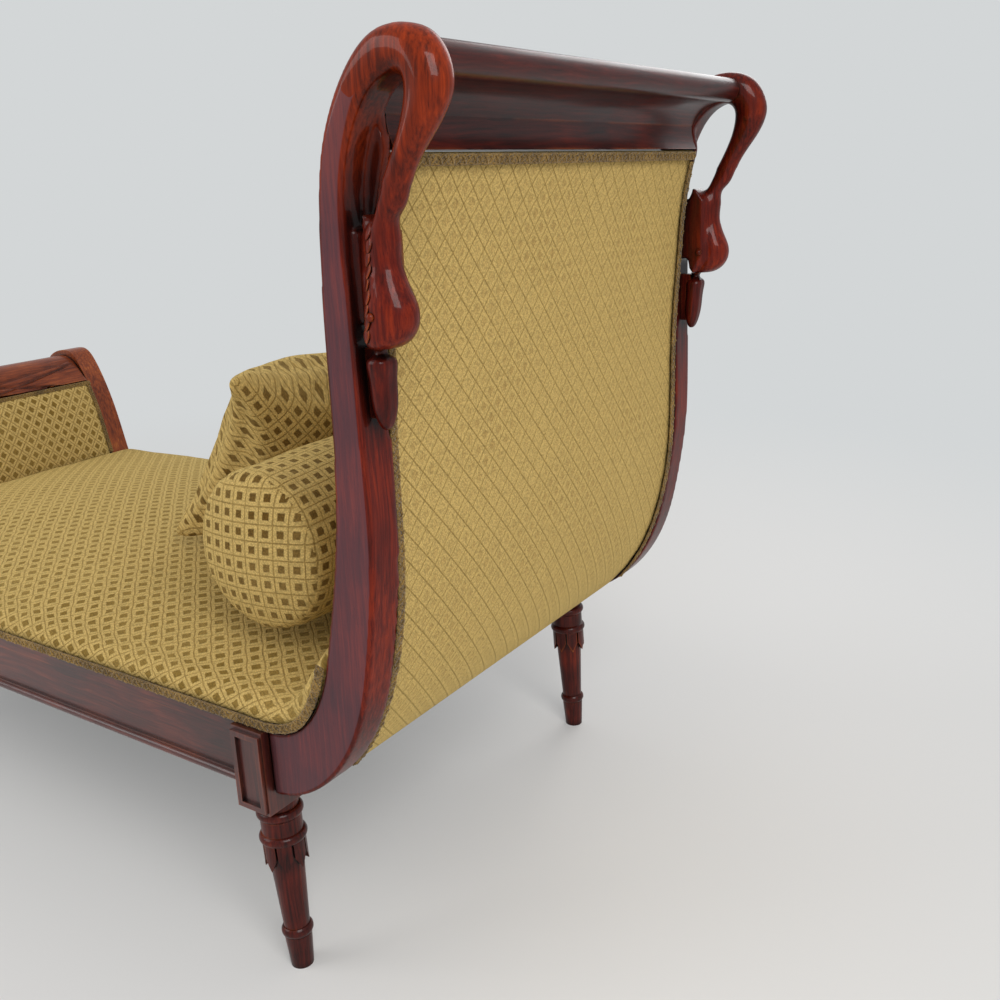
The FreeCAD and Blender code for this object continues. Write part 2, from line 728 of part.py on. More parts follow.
# Upholstery
def pad_section(point, normal, half_width, back, side, crown):
    """Section across a pad: flat back, short rounded sides and one crowned arc."""
    shoulder = half_width - 0.9 * max(side - back, 4.0)

    def spot(y, height):
        return point + normal * height + at(0, y, 0)

    bulge = half_width - 0.22 * (half_width - shoulder)
    middle = back + 0.66 * (side - back)
    edges = [
        Part.LineSegment(spot(-half_width, back), spot(half_width, back)).toShape(),
        Part.Arc(spot(half_width, back), spot(bulge, middle), spot(shoulder, side)).toShape(),
        Part.Arc(spot(shoulder, side), spot(0, crown), spot(-shoulder, side)).toShape(),
        Part.Arc(spot(-shoulder, side), spot(-bulge, middle), spot(-half_width, back)).toShape(),
    ]
    return Part.Wire(edges)


def seat_section(x, share, half_width):
    point = at(x, 0, SEAT_BASE)
    side = SEAT_SIDE * (0.45 + 0.55 * share)
    return pad_section(point, at(0, 0, 1), half_width, 0.0, side, SEAT_CROWN * share)


def seat_end_x():
    return ends(head_inner_curve())[0][0]


def seat_start_x():
    return foot_face_at(SEAT_BASE) + PAD_SIDE


def make_seat_pad():
    """Stuffed seat: low at both ends, highest in the middle, with rounded long sides."""
    x_low, x_high = seat_start_x(), seat_end_x()
    shares = [
        (0.0, 0.26), (0.06, 0.44), (0.12, 0.62), (0.23, 0.86),
        (0.5, 1.0), (0.75, 0.94), (0.88, 0.82), (1.0, 0.76),
    ]
    sections = []
    for along, share in shares:
        sections.append(seat_section(x_low + (x_high - x_low) * along, share, HALF_OUTER - SLIP))
    return loft(sections).cut(make_foot_pad())


def make_elbow_pad():
    """Stuffing that carries the seat up round the foot of the tall end."""
    curve = head_inner_curve()
    lift = SEAT_BASE - RAIL_TOP
    shares = [
        (0.0, 1.0, 0.76), (0.06, 1.0, 0.74), (0.12, 1.0, 0.70),
        (0.18, 1.0, 0.66), (0.24, 0.97, 0.60), (0.30, 0.90, 0.52),
    ]
    sections = []
    for fraction, width_share, share in shares:
        point, normal = station(curve, fraction, 1)
        if fraction == 0.0:
            normal = at(0, 0, 1)
        side = SEAT_SIDE * (0.45 + 0.55 * share) * width_share
        half_width = (HALF_OUTER - SLIP) * width_share
        sections.append(pad_section(point + normal * lift, normal, half_width, 0.0, side, SEAT_CROWN * share))
    return loft(sections)


def head_pad_curve():
    return curve_through(head_inner_points() + [head_pad_top()])


def make_head_pad():
    """Crowned inner padding of the tall end, between its boards."""
    curve = head_pad_curve()
    sections = []
    for index in range(9):
        fraction = 0.29 + 0.70 * index / 8
        point, normal = station(curve, fraction, 1)
        rise = math.sin(math.pi * min(1.0, max(0.0, (fraction - 0.15) / 0.9)))
        crown = PAD_SIDE + (PAD_CROWN - PAD_SIDE) * rise
        sections.append(pad_section(point, normal, HALF_INNER - SLIP, -PAD_BACK, PAD_SIDE, crown + 1))
    return loft(sections).cut(make_cove_panel())


def head_pad_top():
    """Where the inner padding ends, under the cove panel."""
    return neck_spot(-0.265, 0)[0], ends(head_cover_curve())[1][1]


def make_head_cover():
    """Outer cover of the tall end, from the cove down and under to the end rail."""
    curve = head_cover_curve()
    sections = []
    for index in range(13):
        fraction = index / 12
        point, normal = station(curve, fraction, -1)
        crown = COVER_CROWN * math.sin(math.pi * fraction) + 0.6
        sections.append(pad_section(
            point - normal * COVER_INSET, normal, HALF_INNER - SLIP, -COVER_THICKNESS, -1.0, crown,
        ))
    return loft(sections).cut(make_cove_panel())


def make_head_braids():
    """Braid along both edges of the outer cover and under the cove."""
    curve = head_cover_curve()
    trims = []
    for side in (-1, 1):
        low_y = side * (HALF_INNER - BRAID_WIDTH - SLIP)
        high_y = side * (HALF_INNER - SLIP)
        strip = strip_between(curve, -1.0, BRAID_THICKNESS - 1.0, -1, 0.02, 0.975, min(low_y, high_y), max(low_y, high_y))
        trims.append(strip)
    span = HALF_INNER - SLIP
    trims.append(strip_between(curve, -1.0, BRAID_THICKNESS - 1.0, -1, 0.98, 0.998, -span, span))
    return trims


def make_seat_braid():
    """Braid along the rail's top edge on the outer face and up the board's inner edge."""
    y_low, y_high = -HALF_OUTER - BRAID_THICKNESS, -HALF_OUTER
    x_low = foot_face_at(RAIL_TOP + BRAID_WIDTH) + SLIP
    x_high = ends(head_inner_curve())[0][0]
    run = box(x_low, x_high, y_low, y_high, RAIL_TOP + SLIP, RAIL_TOP + BRAID_WIDTH)
    curve = head_inner_curve()
    climb = strip_between(curve, SLIP, BRAID_WIDTH, 1, 0.0, ELBOW_SHARE, y_low, y_high)
    return run.fuse(climb).cut(make_elbow_pad())


def foot_pad_curve():
    """Seat-side edge of the low end, over the height of its padding."""
    low = SEAT_BASE + 5
    high = foot_spot(0, FOOT_PAD_SHARE)[1] - 4
    heights = [low + (high - low) * step / 5 for step in range(6)]
    return curve_through([(foot_face_at(height), height) for height in heights])


def make_foot_pad():
    curve = foot_pad_curve()
    sections = []
    for index in range(7):
        fraction = index / 6
        point, normal = station(curve, fraction, -1)
        crown = PAD_SIDE + FOOT_PAD_CROWN * math.sin(math.pi * (0.25 + 0.7 * fraction))
        sections.append(pad_section(point, normal, HALF_INNER - SLIP, -PAD_BACK, PAD_SIDE, crown))
    return loft(sections)


def foot_outer_points():
    """Outside of the scroll post, from the block up to the throat of the scroll."""
    heel = (FOOT_X - BLOCK_WIDTH / 2, RAIL_TOP)
    return [heel, foot_spot(0.24, 0.17), foot_spot(0.34, 0.36), foot_spot(0.46, 0.52)]


def make_foot_cover():
    """Outer cover of the low end, between the scroll posts."""
    curve = curve_through(foot_outer_points())
    sections = []
    for index in range(7):
        fraction = 0.02 + 0.9 * index / 6
        point, normal = station(curve, fraction, 1)
        crown = COVER_CROWN * math.sin(math.pi * fraction) + 0.6
        sections.append(pad_section(
            point - normal * COVER_INSET, normal, HALF_INNER - SLIP, -COVER_THICKNESS, -1.0, crown,
        ))
    return loft(sections)


def make_inner_braid(curve, side, start, pad):
    """Braid up both sides and across the top of a padded panel, laid on its padding."""
    lift = PAD_SIDE
    trims = []
    for end in (-1, 1):
        low, high = sorted((end * (HALF_INNER - SLIP), end * (HALF_INNER - BRAID_WIDTH)))
        trims.append(strip_between(curve, lift, lift + BRAID_THICKNESS, side, start, 0.93, low, high))
    span = HALF_INNER - SLIP
    top_lift = lift + BRAID_THICKNESS
    trims.append(strip_between(curve, top_lift, top_lift + BRAID_THICKNESS, side, 0.94, 0.99, -span, span))
    return bundle([trim.cut(pad) for trim in trims])


def make_webs():
    """Long and cross webs of the seat, one layer over the other."""
    x_low = FOOT_X - BLOCK_WIDTH / 2 + 6
    x_high = HEAD_X + BLOCK_WIDTH / 2 + END_RAIL_WIDTH - 6
    span = 2 * (BLOCK_INSIDE - WEB_WIDTH / 2 - 6)
    long_webs = []
    for index in range(LONG_WEBS):
        y = -span / 2 + span * index / (LONG_WEBS - 1)
        long_webs.append(box(
            x_low, x_high, y - WEB_WIDTH / 2, y + WEB_WIDTH / 2, RAIL_TOP, RAIL_TOP + WEB_THICKNESS,
        ))
    low = RAIL_TOP + WEB_THICKNESS
    start = FOOT_X + BLOCK_WIDTH / 2 + WEB_WIDTH / 2 + 8
    stop = HEAD_X - BLOCK_WIDTH / 2 - WEB_WIDTH / 2 - 8
    cross_webs = []
    for index in range(CROSS_WEBS):
        x = start + (stop - start) * index / (CROSS_WEBS - 1)
        cross_webs.append(box(
            x - WEB_WIDTH / 2, x + WEB_WIDTH / 2, -HALF_OUTER + 8, HALF_OUTER - 8, low, low + WEB_THICKNESS,
        ))
    return bundle(long_webs), bundle(cross_webs)


def make_head_webs():
    """Webs across the tall end, behind its padding."""
    curve = head_inner_curve()
    webs = []
    for index in range(HEAD_WEBS):
        fraction = 0.40 + 0.56 * index / (HEAD_WEBS - 1)
        point, normal = station(curve, fraction, 1)
        along = at(normal.z, 0, -normal.x)
        middle = point - normal * (PAD_BACK + WEB_THICKNESS + 1)
        corner = middle - along * (WEB_WIDTH / 2) - at(0, HALF_INNER - SLIP, 0)
        face = Part.Face(Part.makePolygon([
            corner,
            corner + along * WEB_WIDTH,
            corner + along * WEB_WIDTH + normal * WEB_THICKNESS,
            corner + normal * WEB_THICKNESS,
            corner,
        ]))
        webs.append(face.extrude(at(0, 2 * (HALF_INNER - SLIP), 0)))
    return bundle(webs)


def make_hessian():
    low = RAIL_TOP + 2 * WEB_THICKNESS
    x_low = seat_start_x()
    return box(x_low, seat_end_x(), -HALF_OUTER + 6, HALF_OUTER - 6, low, low + HESSIAN_THICKNESS)


def make_dust_cover():
    """Thin cloth under the rails."""
    low, high = RAIL_BOTTOM - DUST_COVER_THICKNESS, RAIL_BOTTOM
    x_low = FOOT_X + BLOCK_WIDTH / 2 + SLIP
    x_high = HEAD_X - BLOCK_WIDTH / 2 - SLIP
    wide = box(x_low, x_high, -HALF_OUTER + 6, HALF_OUTER - 6, low, high)
    x_end = FOOT_X - BLOCK_WIDTH / 2 + 4
    narrow = box(x_end, x_high, -BLOCK_INSIDE + SLIP, BLOCK_INSIDE - SLIP, low, high)
    return wide.fuse(narrow).removeSplitter()


def make_bolster():
    """Stuffed roll: slightly full in the middle, with domed round ends."""
    half = BOLSTER_LENGTH / 2
    seam = BOLSTER_RADIUS - BOLSTER_TAPER
    barrel = Part.Arc(at(seam, -half, 0), at(BOLSTER_RADIUS, 0, 0), at(seam, half, 0)).toShape()
    sphere_radius = (seam ** 2 + BOLSTER_DOME ** 2) / (2 * BOLSTER_DOME)
    turn = math.asin(seam / sphere_radius) / 2
    pieces = []
    for end in (1, -1):
        pole = at(0, end * (half + BOLSTER_DOME), 0)
        middle = at(
            sphere_radius * math.sin(turn), end * (half + BOLSTER_DOME - sphere_radius * (1 - math.cos(turn))), 0,
        )
        pieces.append(Part.Arc(at(seam, end * half, 0), middle, pole).toShape())
    axis = Part.LineSegment(at(0, -half - BOLSTER_DOME, 0), at(0, half + BOLSTER_DOME, 0)).toShape()
    wire = Part.Wire(Part.__sortEdges__([barrel, axis] + pieces))
    bolster = Part.Face(wire).revolve(at(0, 0, 0), at(0, 1, 0), 360)
    bolster.translate(bolster_middle())
    return bolster


def seat_top_at(x):
    """Height of the seat's middle line at X, read off the seat pad itself."""
    probe = box(x - 0.5, x + 0.5, -0.5, 0.5, SEAT_BASE - 1, SEAT_BASE + SEAT_CROWN + 30)
    return probe.common(make_seat_pad()).BoundBox.ZMax


def bolster_middle():
    x = HEAD_X - BOLSTER_SET_BACK
    reach = BOLSTER_RADIUS * 0.6
    top = max(seat_top_at(x - reach), seat_top_at(x), seat_top_at(x - reach / 2))
    return at(x, 0, top + BOLSTER_RADIUS + REST_GAP)


def make_cushion():
    """Knife-edge cushion: full corners, drawn-in sides, thick in the middle."""
    shares = [(0.0, 0.0), (0.08, 0.50), (0.2, 0.78), (0.35, 0.95), (0.5, 1.0), (0.65, 0.95), (0.8, 0.78), (0.92, 0.50), (1.0, 0.0)]
    sections = []
    for up, share in shares:
        half_width = CUSHION_WIDTH / 2 - CUSHION_DRAW * math.sin(math.pi * up)
        half_thick = CUSHION_EDGE / 2 + (CUSHION_THICKNESS - CUSHION_EDGE) / 2 * share
        z = CUSHION_HEIGHT * up
        edge = CUSHION_EDGE / 2 * 0.8
        left_low, left_high = at(-edge, -half_width, z), at(edge, -half_width, z)
        right_low, right_high = at(-edge, half_width, z), at(edge, half_width, z)
        edges = [
            Part.Arc(left_high, at(half_thick, 0, z), right_high).toShape(),
            Part.LineSegment(right_high, right_low).toShape(),
            Part.Arc(right_low, at(-half_thick, 0, z), left_low).toShape(),
            Part.LineSegment(left_low, left_high).toShape(),
        ]
        sections.append(Part.Wire(edges))
    cushion = loft(sections)
    cushion.rotate(at(0, 0, 0), at(1, 0, 0), -CUSHION_TIP)
    cushion.rotate(at(0, 0, 0), at(0, 1, 0), CUSHION_LEAN)
    cushion.rotate(at(0, 0, 0), at(0, 0, 1), -CUSHION_TURN)
    cushion.translate(cushion_foot())
    return cushion


def cushion_foot():
    """Middle of the cushion's bottom edge, so that its back just meets the bolster."""
    lean = math.radians(CUSHION_LEAN)
    turn = math.radians(CUSHION_TURN)
    axis = bolster_middle()
    slack = CUSHION_WIDTH / 2 * math.tan(turn) * math.cos(lean)
    stand_off = BOLSTER_RADIUS + CUSHION_THICKNESS / 2 + slack ** 2 / (2 * CUSHION_THICKNESS) + REST_GAP
    dip = CUSHION_WIDTH / 2 * math.sin(math.radians(CUSHION_TIP)) * math.cos(lean)
    foot_z = SEAT_BASE + SEAT_CROWN + REST_GAP + CUSHION_EDGE * math.sin(lean) + dip
    away = (stand_off + (axis.z - foot_z) * math.sin(lean)) / math.cos(lean)
    return at(axis.x - away, CUSHION_OFFSET, foot_z)


def save(name, shape):
    shape.exportStep("parts/" + name + ".step")


def make_corners(screws):
    """Corner blocks and legs by name; each block is bored for its leg and its screws."""
    pieces = {}
    for end, block_x, direction in (("head", HEAD_X, 1), ("foot", FOOT_X, -1)):
        leg = make_leg(block_x, direction)
        block = make_block(block_x).cut(leg).cut(screws)
        pieces["leg_" + end + "_front"] = leg
        pieces["leg_" + end + "_back"] = mirrored(leg)
        pieces["corner_block_" + end + "_front"] = block
        pieces["corner_block_" + end + "_back"] = mirrored(block)
    return pieces


def save_pair(name, shape):
    save(name + "_front", shape)
    save(name + "_back", mirrored(shape))


def main():
    os.makedirs("parts", exist_ok=True)
    screws = make_screws()
    for name, shape in make_corners(screws).items():
        save(name, shape)
    save("corner_tablets", make_tablets())
    save_pair("long_rail", make_long_rail())
    save_pair("rail_bead", make_rail_bead())
    save("head_end_rail", make_head_end_rail().cut(screws))
    save("foot_end_rail", make_foot_end_rail().cut(screws))
    save("corner_braces", make_braces().cut(screws))
    save("brace_screws", screws)

    neck, head, bill = swan_parts()
    save_pair("head_board", make_head_board())
    save_pair("swan_neck", neck)
    save_pair("swan_head", head)
    save_pair("swan_bill", bill)
    save("swan_eyes", make_eyes(head, mirrored(head)))
    save("head_crest_rail", make_crest_rail())
    save("head_cove_panel", make_cove_panel())
    save("head_webbing", make_head_webs())
    head_pad = make_head_pad()
    save("head_inner_pad", head_pad)
    save("head_inner_braid", make_inner_braid(head_pad_curve(), 1, 0.30, head_pad))
    save("head_outer_cover", make_head_cover())
    save("head_outer_braid", bundle(make_head_braids()))

    save_pair("foot_post", make_foot_post())
    save("foot_crest_rail", make_foot_crest())
    foot_pad = make_foot_pad()
    save("foot_inner_pad", foot_pad)
    save("foot_outer_cover", make_foot_cover())
    save("foot_inner_braid", make_inner_braid(foot_pad_curve(), -1, 0.05, foot_pad))

    long_webs, cross_webs = make_webs()
    save("seat_webbing_long", long_webs)
    save("seat_webbing_cross", cross_webs)
    save("seat_hessian", make_hessian())
    save("seat_pad", make_seat_pad())
    save("seat_elbow_pad", make_elbow_pad())
    save_pair("seat_braid", make_seat_braid())
    save("dust_cover", make_dust_cover())

    save("bolster", make_bolster())
    save("scatter_cushion", make_cushion())


if __name__ == "__main__":
    main()
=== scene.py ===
"""Recamier with swan-neck sides: the looks of every piece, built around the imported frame."""

import logging
import math
from dataclasses import dataclass
from enum import Enum
from typing import Iterable, Sequence

import bmesh
import bpy
import numpy as np
from mathutils import Matrix, Vector
from mathutils.bvhtree import BVHTree


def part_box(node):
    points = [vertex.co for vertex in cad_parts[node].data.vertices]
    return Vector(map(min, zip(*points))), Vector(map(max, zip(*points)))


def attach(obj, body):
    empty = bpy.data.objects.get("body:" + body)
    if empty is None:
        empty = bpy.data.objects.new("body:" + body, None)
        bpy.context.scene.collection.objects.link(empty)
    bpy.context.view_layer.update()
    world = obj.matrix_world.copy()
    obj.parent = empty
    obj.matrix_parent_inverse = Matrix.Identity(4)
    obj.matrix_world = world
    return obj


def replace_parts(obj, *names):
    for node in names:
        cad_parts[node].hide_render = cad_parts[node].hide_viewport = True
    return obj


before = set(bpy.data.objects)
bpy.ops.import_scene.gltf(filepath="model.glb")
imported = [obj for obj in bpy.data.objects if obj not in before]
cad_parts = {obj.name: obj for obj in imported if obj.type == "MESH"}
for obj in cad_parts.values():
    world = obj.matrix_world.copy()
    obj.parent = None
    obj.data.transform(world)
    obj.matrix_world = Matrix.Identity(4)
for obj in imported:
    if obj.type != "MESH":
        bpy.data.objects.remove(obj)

LOG = logging.getLogger("recamier")
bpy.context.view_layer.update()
MM = 0.001
WELD = 0.02 * MM
FACE_SLACK = 0.05 * MM
CLEAR_COAT_IOR = 1.5
YARN_IOR = 1.45
BOARD_FACE = 323.8 * MM
BOARD_FACE_BAND = 1.2 * MM

# Settings of nodes that come back in several materials.
SMOOTH = {"interpolation_type": "SMOOTHSTEP"}
TIMES = {"operation": "MULTIPLY"}
TIMES_PLUS = {"operation": "MULTIPLY_ADD"}
WITHOUT_SIGN = {"operation": "ABSOLUTE"}
LARGER = {"operation": "MAXIMUM"}
COLOURS = {"data_type": "RGBA"}

Points = np.ndarray
Run = tuple[Points, Points, Points]
Line = tuple[tuple[float, float], ...]
Spot = tuple[float, float, float]
Material = bpy.types.Material
Mesh = bpy.types.Mesh
Piece = bpy.types.Object
Socket = bpy.types.NodeSocket
Tree = bpy.types.NodeTree


# Colours and nodes
def linear(code: str) -> tuple[float, float, float, float]:
    """Turn an sRGB hex colour into linear RGBA.

    Args:
        code: colour such as "#6B2214".

    Returns:
        Linear red, green, blue and an alpha of 1.
    """
    parts = [int(code[i:i + 2], 16) / 255 for i in (1, 3, 5)]
    low = [c / 12.92 if c <= 0.04045 else ((c + 0.055) / 1.055) ** 2.4 for c in parts]
    return low[0], low[1], low[2], 1.0


def add(tree: Tree, kind: str, settings: dict | None = None, **inputs: object) -> bpy.types.Node:
    """Add one shader node with its settings, values and links.

    Args:
        tree: the material's node tree.
        kind: node type without its "ShaderNode" prefix.
        settings: properties of the node itself.
        inputs: value or output socket per input; "_0" names an input by number, and "_" in a name is a space.

    Returns:
        The new node.
    """
    node = tree.nodes.new("ShaderNode" + kind)
    for name, value in (settings or {}).items():
        setattr(node, name, value)
    for key, value in inputs.items():
        socket = node.inputs[int(key[1:])] if key.startswith("_") else node.inputs[key.replace("_", " ")]
        if isinstance(value, Socket):
            tree.links.new(value, socket)
        else:
            socket.default_value = value
    return node


def blank(name: str) -> tuple[Material, Tree]:
    """Start a material with an empty node tree.

    Args:
        name: the material's name.

    Returns:
        The material and its tree.
    """
    material = bpy.data.materials.new(name)
    material.use_nodes = True
    material.node_tree.nodes.clear()
    return material, material.node_tree


def close(tree: Tree, shader: bpy.types.Node) -> None:
    """Join a shader to the material's output.

    Args:
        tree: the material's node tree.
        shader: the node whose first output is shown.
    """
    output = add(tree, "OutputMaterial")
    tree.links.new(shader.outputs[0], output.inputs["Surface"])


class Side(Enum):
    """Long side of the object, and which way it lies along Y."""

    FRONT = -1
    BACK = 1

    @property
    def word(self) -> str:
        """The side's name in the nodes' names."""
        return self.name.lower()


class Grain(Enum):
    """Which way the fibres of a wooden piece run."""

    LENGTH = 0
    ACROSS = 1
    HEIGHT = 2

    def scale(self, along_mm: float, across_mm: float) -> tuple[float, float, float]:
        """Cells per metre on each axis for a pattern drawn out along the fibres.

        Args:
            along_mm: size of a cell along the fibres.
            across_mm: its size across them.

        Returns:
            One scale per axis.
        """
        sizes = [1000 / across_mm] * 3
        sizes[self.value] = 1000 / along_mm
        return sizes[0], sizes[1], sizes[2]


@dataclass(frozen=True)
class PolishedMahogany:
    """Mahogany, planed and carved, stained dark red and French polished.

    The eye sees long soft streaks, short dark pores, a deep clear gloss that mirrors the room, and amber where
    the polish is rubbed through on edges. Painted light is laid on as well: amber on the high, front side of
    the neck where the light falls, a painted violet reflection of the pale room on the boards' flat sides, and
    painted shade in the hollows. In pale colours and without a coat it stands for sawn beech, which shows its
    fibres and no gloss.
    """

    name: str
    grain: Grain
    shadow: str = "#1C0504"
    body: str = "#48100A"
    glow: str = "#762410"
    worn: str = "#B0581E"
    # Amber painted on the neck where the light falls.
    amber: str = "#9E380C"
    # Violet reflection of the pale room, painted on the boards' flat sides.
    side_reflection_colour: str = "#5C464E"
    # Painted shade in the hollows.
    hollow_shade: str = "#120605"
    pore: str = "#B3A6A2"
    wear: float = 0.55
    # Share of painted amber light on the neck.
    lit_amber_share: float = 0.0
    # Share of the painted reflection on the flat sides.
    side_reflection_share: float = 0.0
    coat: float = 0.5
    coat_roughness: float = 0.12
    specular: float = 0.18
    roughness: tuple[float, float] = (0.30, 0.44)
    tone_places: Spot = (0.36, 0.52, 0.68)
    streak_mm: tuple[float, float] = (85.0, 3.2)
    # Real pores are about 0.2 mm wide. They are drawn wider, because they would not show.
    pore_mm: tuple[float, float] = (7.0, 0.55)
    cloud_mm: float = 95.0
    cloud_share: float = 0.45
    wander_mm: float = 111.11
    wander_reach_mm: float = 12.0
    edge_mm: float = 3.5
    # Reach and range of the ambient occlusion that paints shade in the hollows.
    hollow_mm: float = 14.0
    hollow_range: tuple[float, float] = (0.45, 0.85)
    relief_mm: float = 0.4
    # Heights and across-range of the painted amber light on the neck.
    lit_heights: tuple[float, float] = (0.74, 0.87)
    lit_across: tuple[float, float] = (-0.2, 0.2)

    def material(self) -> Material:
        """Build the finish.

        Returns:
            The new material.
        """
        material, tree = blank(self.name)
        place = add(tree, "TexCoord").outputs["Object"]
        normal = add(tree, "NewGeometry").outputs["Normal"]
        axes = add(tree, "SeparateXYZ", Vector=place)
        cloud = add(tree, "TexNoise", Vector=place, Scale=1000 / self.cloud_mm, Detail=3.0,
                    Roughness=0.55).outputs["Fac"]
        # Ambient occlusion marks the hollows: they get painted shade, and wear and painted amber stay out of them.
        hollow = add(tree, "AmbientOcclusion", {"samples": 4, "inside": False}, Distance=self.hollow_mm * MM)
        open_air = add(tree, "MapRange", SMOOTH, Value=hollow.outputs["AO"], From_Min=self.hollow_range[0],
                       From_Max=self.hollow_range[1]).outputs[0]
        streak, pits = self.fibres(tree, place)
        figure = add(tree, "Mix", _0=self.cloud_share, _2=streak, _3=cloud).outputs[0]
        ramp = add(tree, "ValToRGB", Fac=figure)
        dark, middle, light = self.tone_places
        ramp.color_ramp.elements[0].position = dark
        ramp.color_ramp.elements[0].color = linear(self.shadow)
        ramp.color_ramp.elements[1].position = light
        ramp.color_ramp.elements[1].color = linear(self.glow)
        ramp.color_ramp.elements.new(middle).color = linear(self.body)
        pored = add(tree, "Mix", {"data_type": "RGBA", "blend_type": "MULTIPLY"}, _0=pits,
                    _6=ramp.outputs["Color"], _7=linear(self.pore))
        worn = add(tree, "Mix", COLOURS, _0=self.rubbed_edges(tree, normal, cloud, open_air), _6=pored.outputs[2],
                   _7=linear(self.worn))
        # Painted light: amber on the high, front side of the neck.
        lit_warm = add(tree, "Mix", COLOURS, _0=self.lit_neck_amber(tree, axes, figure, open_air), _6=worn.outputs[2],
                   _7=linear(self.amber))
        # Painted reflection of the pale room on the boards' flat sides.
        side_reflected = add(tree, "Mix", COLOURS, _0=self.painted_side_reflection(tree, axes, normal), _6=lit_warm.outputs[2],
                    _7=linear(self.side_reflection_colour))
        # Painted shade in the hollows, from the ambient occlusion.
        hollow_shaded = add(tree, "Mix", COLOURS, _0=open_air, _6=linear(self.hollow_shade), _7=side_reflected.outputs[2])
        dull = add(tree, "MapRange", Value=cloud, From_Min=0.3, From_Max=0.7, To_Min=self.roughness[0],
                   To_Max=self.roughness[1])
        relief = add(tree, "Math", TIMES_PLUS, _0=pits, _1=-0.5, _2=streak)
        bump = add(tree, "Bump", Strength=0.22, Distance=self.relief_mm * MM, Height=relief.outputs[0])
        shader = add(tree, "BsdfPrincipled", Base_Color=hollow_shaded.outputs[2], Roughness=dull.outputs[0],
                     IOR=CLEAR_COAT_IOR, Coat_Weight=self.coat, Coat_Roughness=self.coat_roughness,
                     Coat_IOR=CLEAR_COAT_IOR, Normal=bump.outputs[0])
        shader.inputs["Specular IOR Level"].default_value = self.specular
        close(tree, shader)
        return material

    def fibres(self, tree: Tree, place: Socket) -> tuple[Socket, Socket]:
        """Streaks and pores along fibres that wander a little.

        Args:
            tree: the material's node tree.
            place: place on the object.

        Returns:
            How light the streaks are, and how deep the pores.
        """
        wander = add(tree, "TexNoise", Vector=place, Scale=1000 / self.wander_mm, Detail=1.0)
        drift = add(tree, "VectorMath", {"operation": "SCALE"}, _0=wander.outputs["Color"],
                    Scale=self.wander_reach_mm * MM)
        moved = add(tree, "VectorMath", {"operation": "ADD"}, _0=place, _1=drift.outputs[0])
        long_cells = add(tree, "Mapping", Vector=moved.outputs[0], Scale=self.grain.scale(*self.streak_mm))
        streak = add(tree, "TexNoise", Vector=long_cells.outputs[0], Scale=1.0, Detail=5.0, Roughness=0.62)
        short_cells = add(tree, "Mapping", Vector=moved.outputs[0], Scale=self.grain.scale(*self.pore_mm))
        pores = add(tree, "TexNoise", Vector=short_cells.outputs[0], Scale=1.0, Detail=2.0)
        pits = add(tree, "MapRange", SMOOTH, Value=pores.outputs["Fac"], From_Min=0.60, From_Max=0.72)
        return streak.outputs["Fac"], pits.outputs[0]

    def rubbed_edges(self, tree: Tree, normal: Socket, cloud: Socket, open_air: Socket) -> Socket:
        """Edges where the polish is rubbed through, in patches and never in a hollow.

        Args:
            tree: the material's node tree.
            normal: the surface's own direction.
            cloud: the large soft pattern.
            open_air: 0 in a hollow, 1 outside it.

        Returns:
            The share of worn wood.
        """
        rounded = add(tree, "Bevel", {"samples": 4}, Radius=self.edge_mm * MM)
        turn = add(tree, "VectorMath", {"operation": "DOT_PRODUCT"}, _0=rounded.outputs[0], _1=normal)
        edge = add(tree, "MapRange", SMOOTH, Value=turn.outputs["Value"], From_Min=0.985, From_Max=0.86)
        patches = add(tree, "MapRange", Value=cloud, From_Min=0.42, From_Max=0.62, To_Max=self.wear)
        rubbed = add(tree, "Math", TIMES, _0=edge.outputs[0], _1=patches.outputs[0])
        return add(tree, "Math", TIMES, _0=rubbed.outputs[0], _1=open_air).outputs[0]

    def lit_neck_amber(self, tree: Tree, axes: bpy.types.Node, figure: Socket, open_air: Socket) -> Socket:
        """Painted light: amber on the high wood where the light falls, most on the front side.

        Args:
            tree: the material's node tree.
            axes: the place on the object, axis by axis.
            figure: the wood's figure.
            open_air: 0 in a hollow, 1 outside it.

        Returns:
            The share of painted amber light.
        """
        low, high = self.lit_heights
        near, far = self.lit_across
        raised = add(tree, "MapRange", SMOOTH, Value=axes.outputs["Z"], From_Min=low, From_Max=high,
                     To_Max=self.lit_amber_share)
        front = add(tree, "MapRange", Value=axes.outputs["Y"], From_Min=near, From_Max=far, To_Min=1.0, To_Max=0.12)
        patches = add(tree, "MapRange", Value=figure, From_Min=0.38, From_Max=0.6, To_Min=0.25)
        high_front = add(tree, "Math", TIMES, _0=raised.outputs[0], _1=front.outputs[0])
        lit_open = add(tree, "Math", TIMES, _0=high_front.outputs[0], _1=open_air)
        return add(tree, "Math", TIMES, _0=lit_open.outputs[0], _1=patches.outputs[0]).outputs[0]

    def painted_side_reflection(self, tree: Tree, axes: bpy.types.Node, normal: Socket) -> Socket:
        """Flat outer sides of the boards, where a reflection of the pale room is painted.

        Args:
            tree: the material's node tree.
            axes: the place on the object, axis by axis.
            normal: the surface's own direction.

        Returns:
            The share of haze.
        """
        aside = add(tree, "Math", WITHOUT_SIGN, _0=axes.outputs["Y"])
        level = add(tree, "Math", {"operation": "COMPARE"}, _0=aside.outputs[0], _1=BOARD_FACE, _2=BOARD_FACE_BAND)
        facing = add(tree, "SeparateXYZ", Vector=normal)
        turned = add(tree, "Math", WITHOUT_SIGN, _0=facing.outputs["Y"])
        broad = add(tree, "MapRange", SMOOTH, Value=turned.outputs[0], From_Min=0.96, From_Max=0.99,
                    To_Max=self.side_reflection_share)
        return add(tree, "Math", TIMES, _0=level.outputs[0], _1=broad.outputs[0]).outputs[0]


